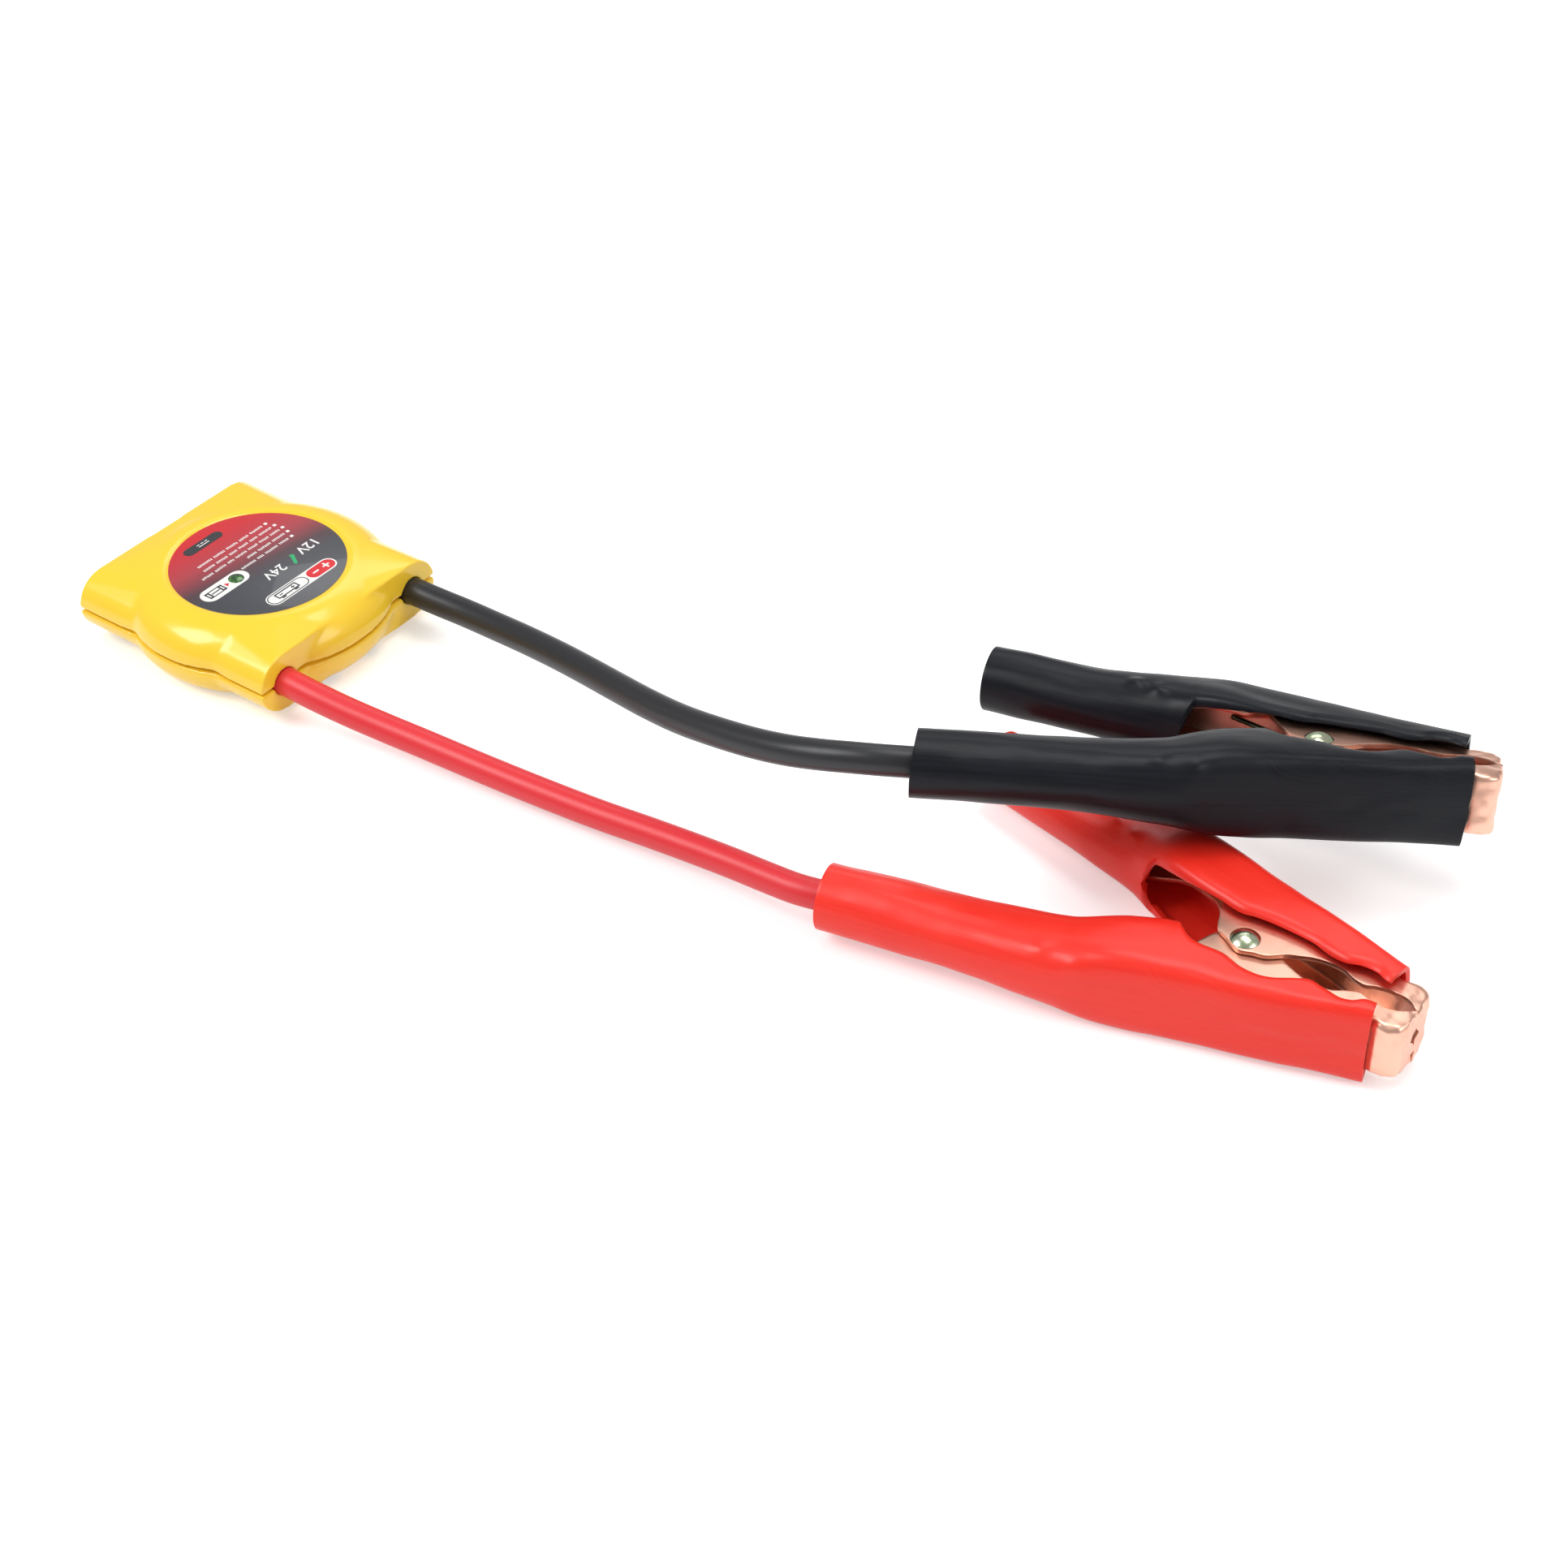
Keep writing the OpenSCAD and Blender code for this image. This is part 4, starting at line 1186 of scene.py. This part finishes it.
def clamp(colour, pvc, seed):
    place = clamp_place(colour)
    fixed, free = "root", colour + "_free"
    finished(
        colour + "_cable_jaw", lever(CABLE_LEVER_L, CABLE_HALF_W, RIVET_R + TIGHT_FIT, seed),
        fixed, COPPER, [colour + "_cable_lever"], place @ MIRRORED, crease=40,
    )
    finished(
        colour + "_free_jaw", lever(FREE_LEVER_L, JAW_HALF_W, RIVET_R + LOOSE_FIT, seed + 4),
        free, COPPER, [colour + "_free_lever"], place, crease=40,
    )
    finished(
        colour + "_rivet", rivet(), fixed, ZINC, [colour + "_pivot_rivet"], place,
        crease=45,
    )
    spring = finished(
        colour + "_spring", tube(spring_points(), WIRE_R, 14), None, ZINC,
        [colour + "_torsion_spring"], place, crease=60,
    )
    coil_side, leg_side = (place @ Vector((0, y, 0)) * MM for y in SPRING_TWIST)
    tuple(coil_side)
    tuple(leg_side)
    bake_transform(spring)
    finished(
        colour + "_cable_grip",
        sleeve(CABLE_SLEEVE_L, CABLE_MOUTH, CABLE_BUMPS, seed + 1, TAIL_SLANT[colour]),
        fixed, pvc, [colour + "_cable_sleeve"], place @ MIRRORED, crease=45,
    )
    finished(
        colour + "_free_grip", sleeve(FREE_SLEEVE_L[colour], FREE_MOUTH, FREE_BUMPS, seed + 2),
        free, pvc, [colour + "_free_sleeve"], place, crease=45,
    )


clamp("red", RED_SLEEVE, 11)
clamp("black", BLACK_SLEEVE, 31)

# ------------------------------------------------- finishes for CAD's pieces

CAD_FINISHES = {
    "status_led": LENS, "circuit_board": BOARD, "varistor_discs": COATING,
    "transient_diodes": MOULDED, "glass_fuse": GLASS, "board_resistors": DIPPED,
    "red_lug": TINNED, "black_lug": TINNED, "terminal_screws": ZINC, "lead_saddle": MOULDED,
    "saddle_screws": ZINC, "housing_screws": ZINC, "red_lead_end": RED_JACKET,
    "black_lead_end": BLACK_JACKET, "red_lead_crimp": COPPER, "black_lead_crimp": COPPER,
}
for node, finish in CAD_FINISHES.items():
    materials = frame["nodes"][node].data.materials
    materials.clear()
    materials.append(finish)

# ---------------------------------------------------------- floor and light


FLOOR_SEEN = 0.42
FLOOR_MIRRORED = 0.3
SURROUND = 0.4


def floor():
    """A white floor that keeps the shadow, and shows as white in what reflects it."""
    finish = Finish("floor", (0.9, 0.9, 0.9), 0.9)
    seen = finish.add("ShaderNodeLightPath", {}, {}, output="Is Camera Ray")
    mirrored = finish.add("ShaderNodeLightPath", {}, {}, output="Is Glossy Ray")
    through = finish.add("ShaderNodeLightPath", {}, {}, output="Is Transmission Ray")
    finish.feed("Emission Color", (1, 1, 1, 1))
    finish.feed("Emission Strength", FLOOR_SEEN * seen + FLOOR_MIRRORED * (mirrored + through))
    bm = bmesh.new()
    bmesh.ops.create_grid(bm, x_segments=1, y_segments=1, size=4)
    made = shown("floor", bm, finish.material)
    made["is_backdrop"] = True


def softbox(name, at, aim, size, power):
    data = bpy.data.lights.new(name, "AREA")
    data.shape = "RECTANGLE"
    data.size, data.size_y = size
    data.energy = power
    lamp = bpy.data.objects.new(name, data)
    lamp.location = at
    lamp.rotation_euler = (Vector(aim) - Vector(at)).to_track_quat("-Z", "Y").to_euler()
    scene.collection.objects.link(lamp)


floor()
AIM = (0.18, 0.03, 0.0)
softbox("key", (-0.45, -0.65, 1.0), AIM, (0.6, 0.6), 8.5)
softbox("top", (0.25, 0.3, 1.3), AIM, (0.9, 0.5), 6)
softbox("fill", (1.2, 0.1, 0.7), AIM, (0.6, 0.6), 3.5)
softbox("back", (-0.4, 1.0, 1.0), AIM, (0.9, 0.4), 2.5)


def studio():
    """A soft grey surround that the camera sees as white."""
    world = bpy.data.worlds.new("studio")
    world.use_nodes = True
    tree = world.node_tree
    seen = tree.nodes.new("ShaderNodeLightPath")
    level = tree.nodes.new("ShaderNodeMapRange")
    level.inputs["To Min"].default_value = SURROUND
    background = tree.nodes["Background"]
    background.inputs["Color"].default_value = (1, 1, 1, 1)
    tree.links.new(seen.outputs["Is Camera Ray"], level.inputs["Value"])
    tree.links.new(level.outputs["Result"], background.inputs["Strength"])
    scene.world = world


studio()
scene.view_settings.view_transform = "Standard"

boxes = {"cad": cad_box, "visual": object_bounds()}
{name: [list(corner) for corner in box] for name, box in boxes.items()}
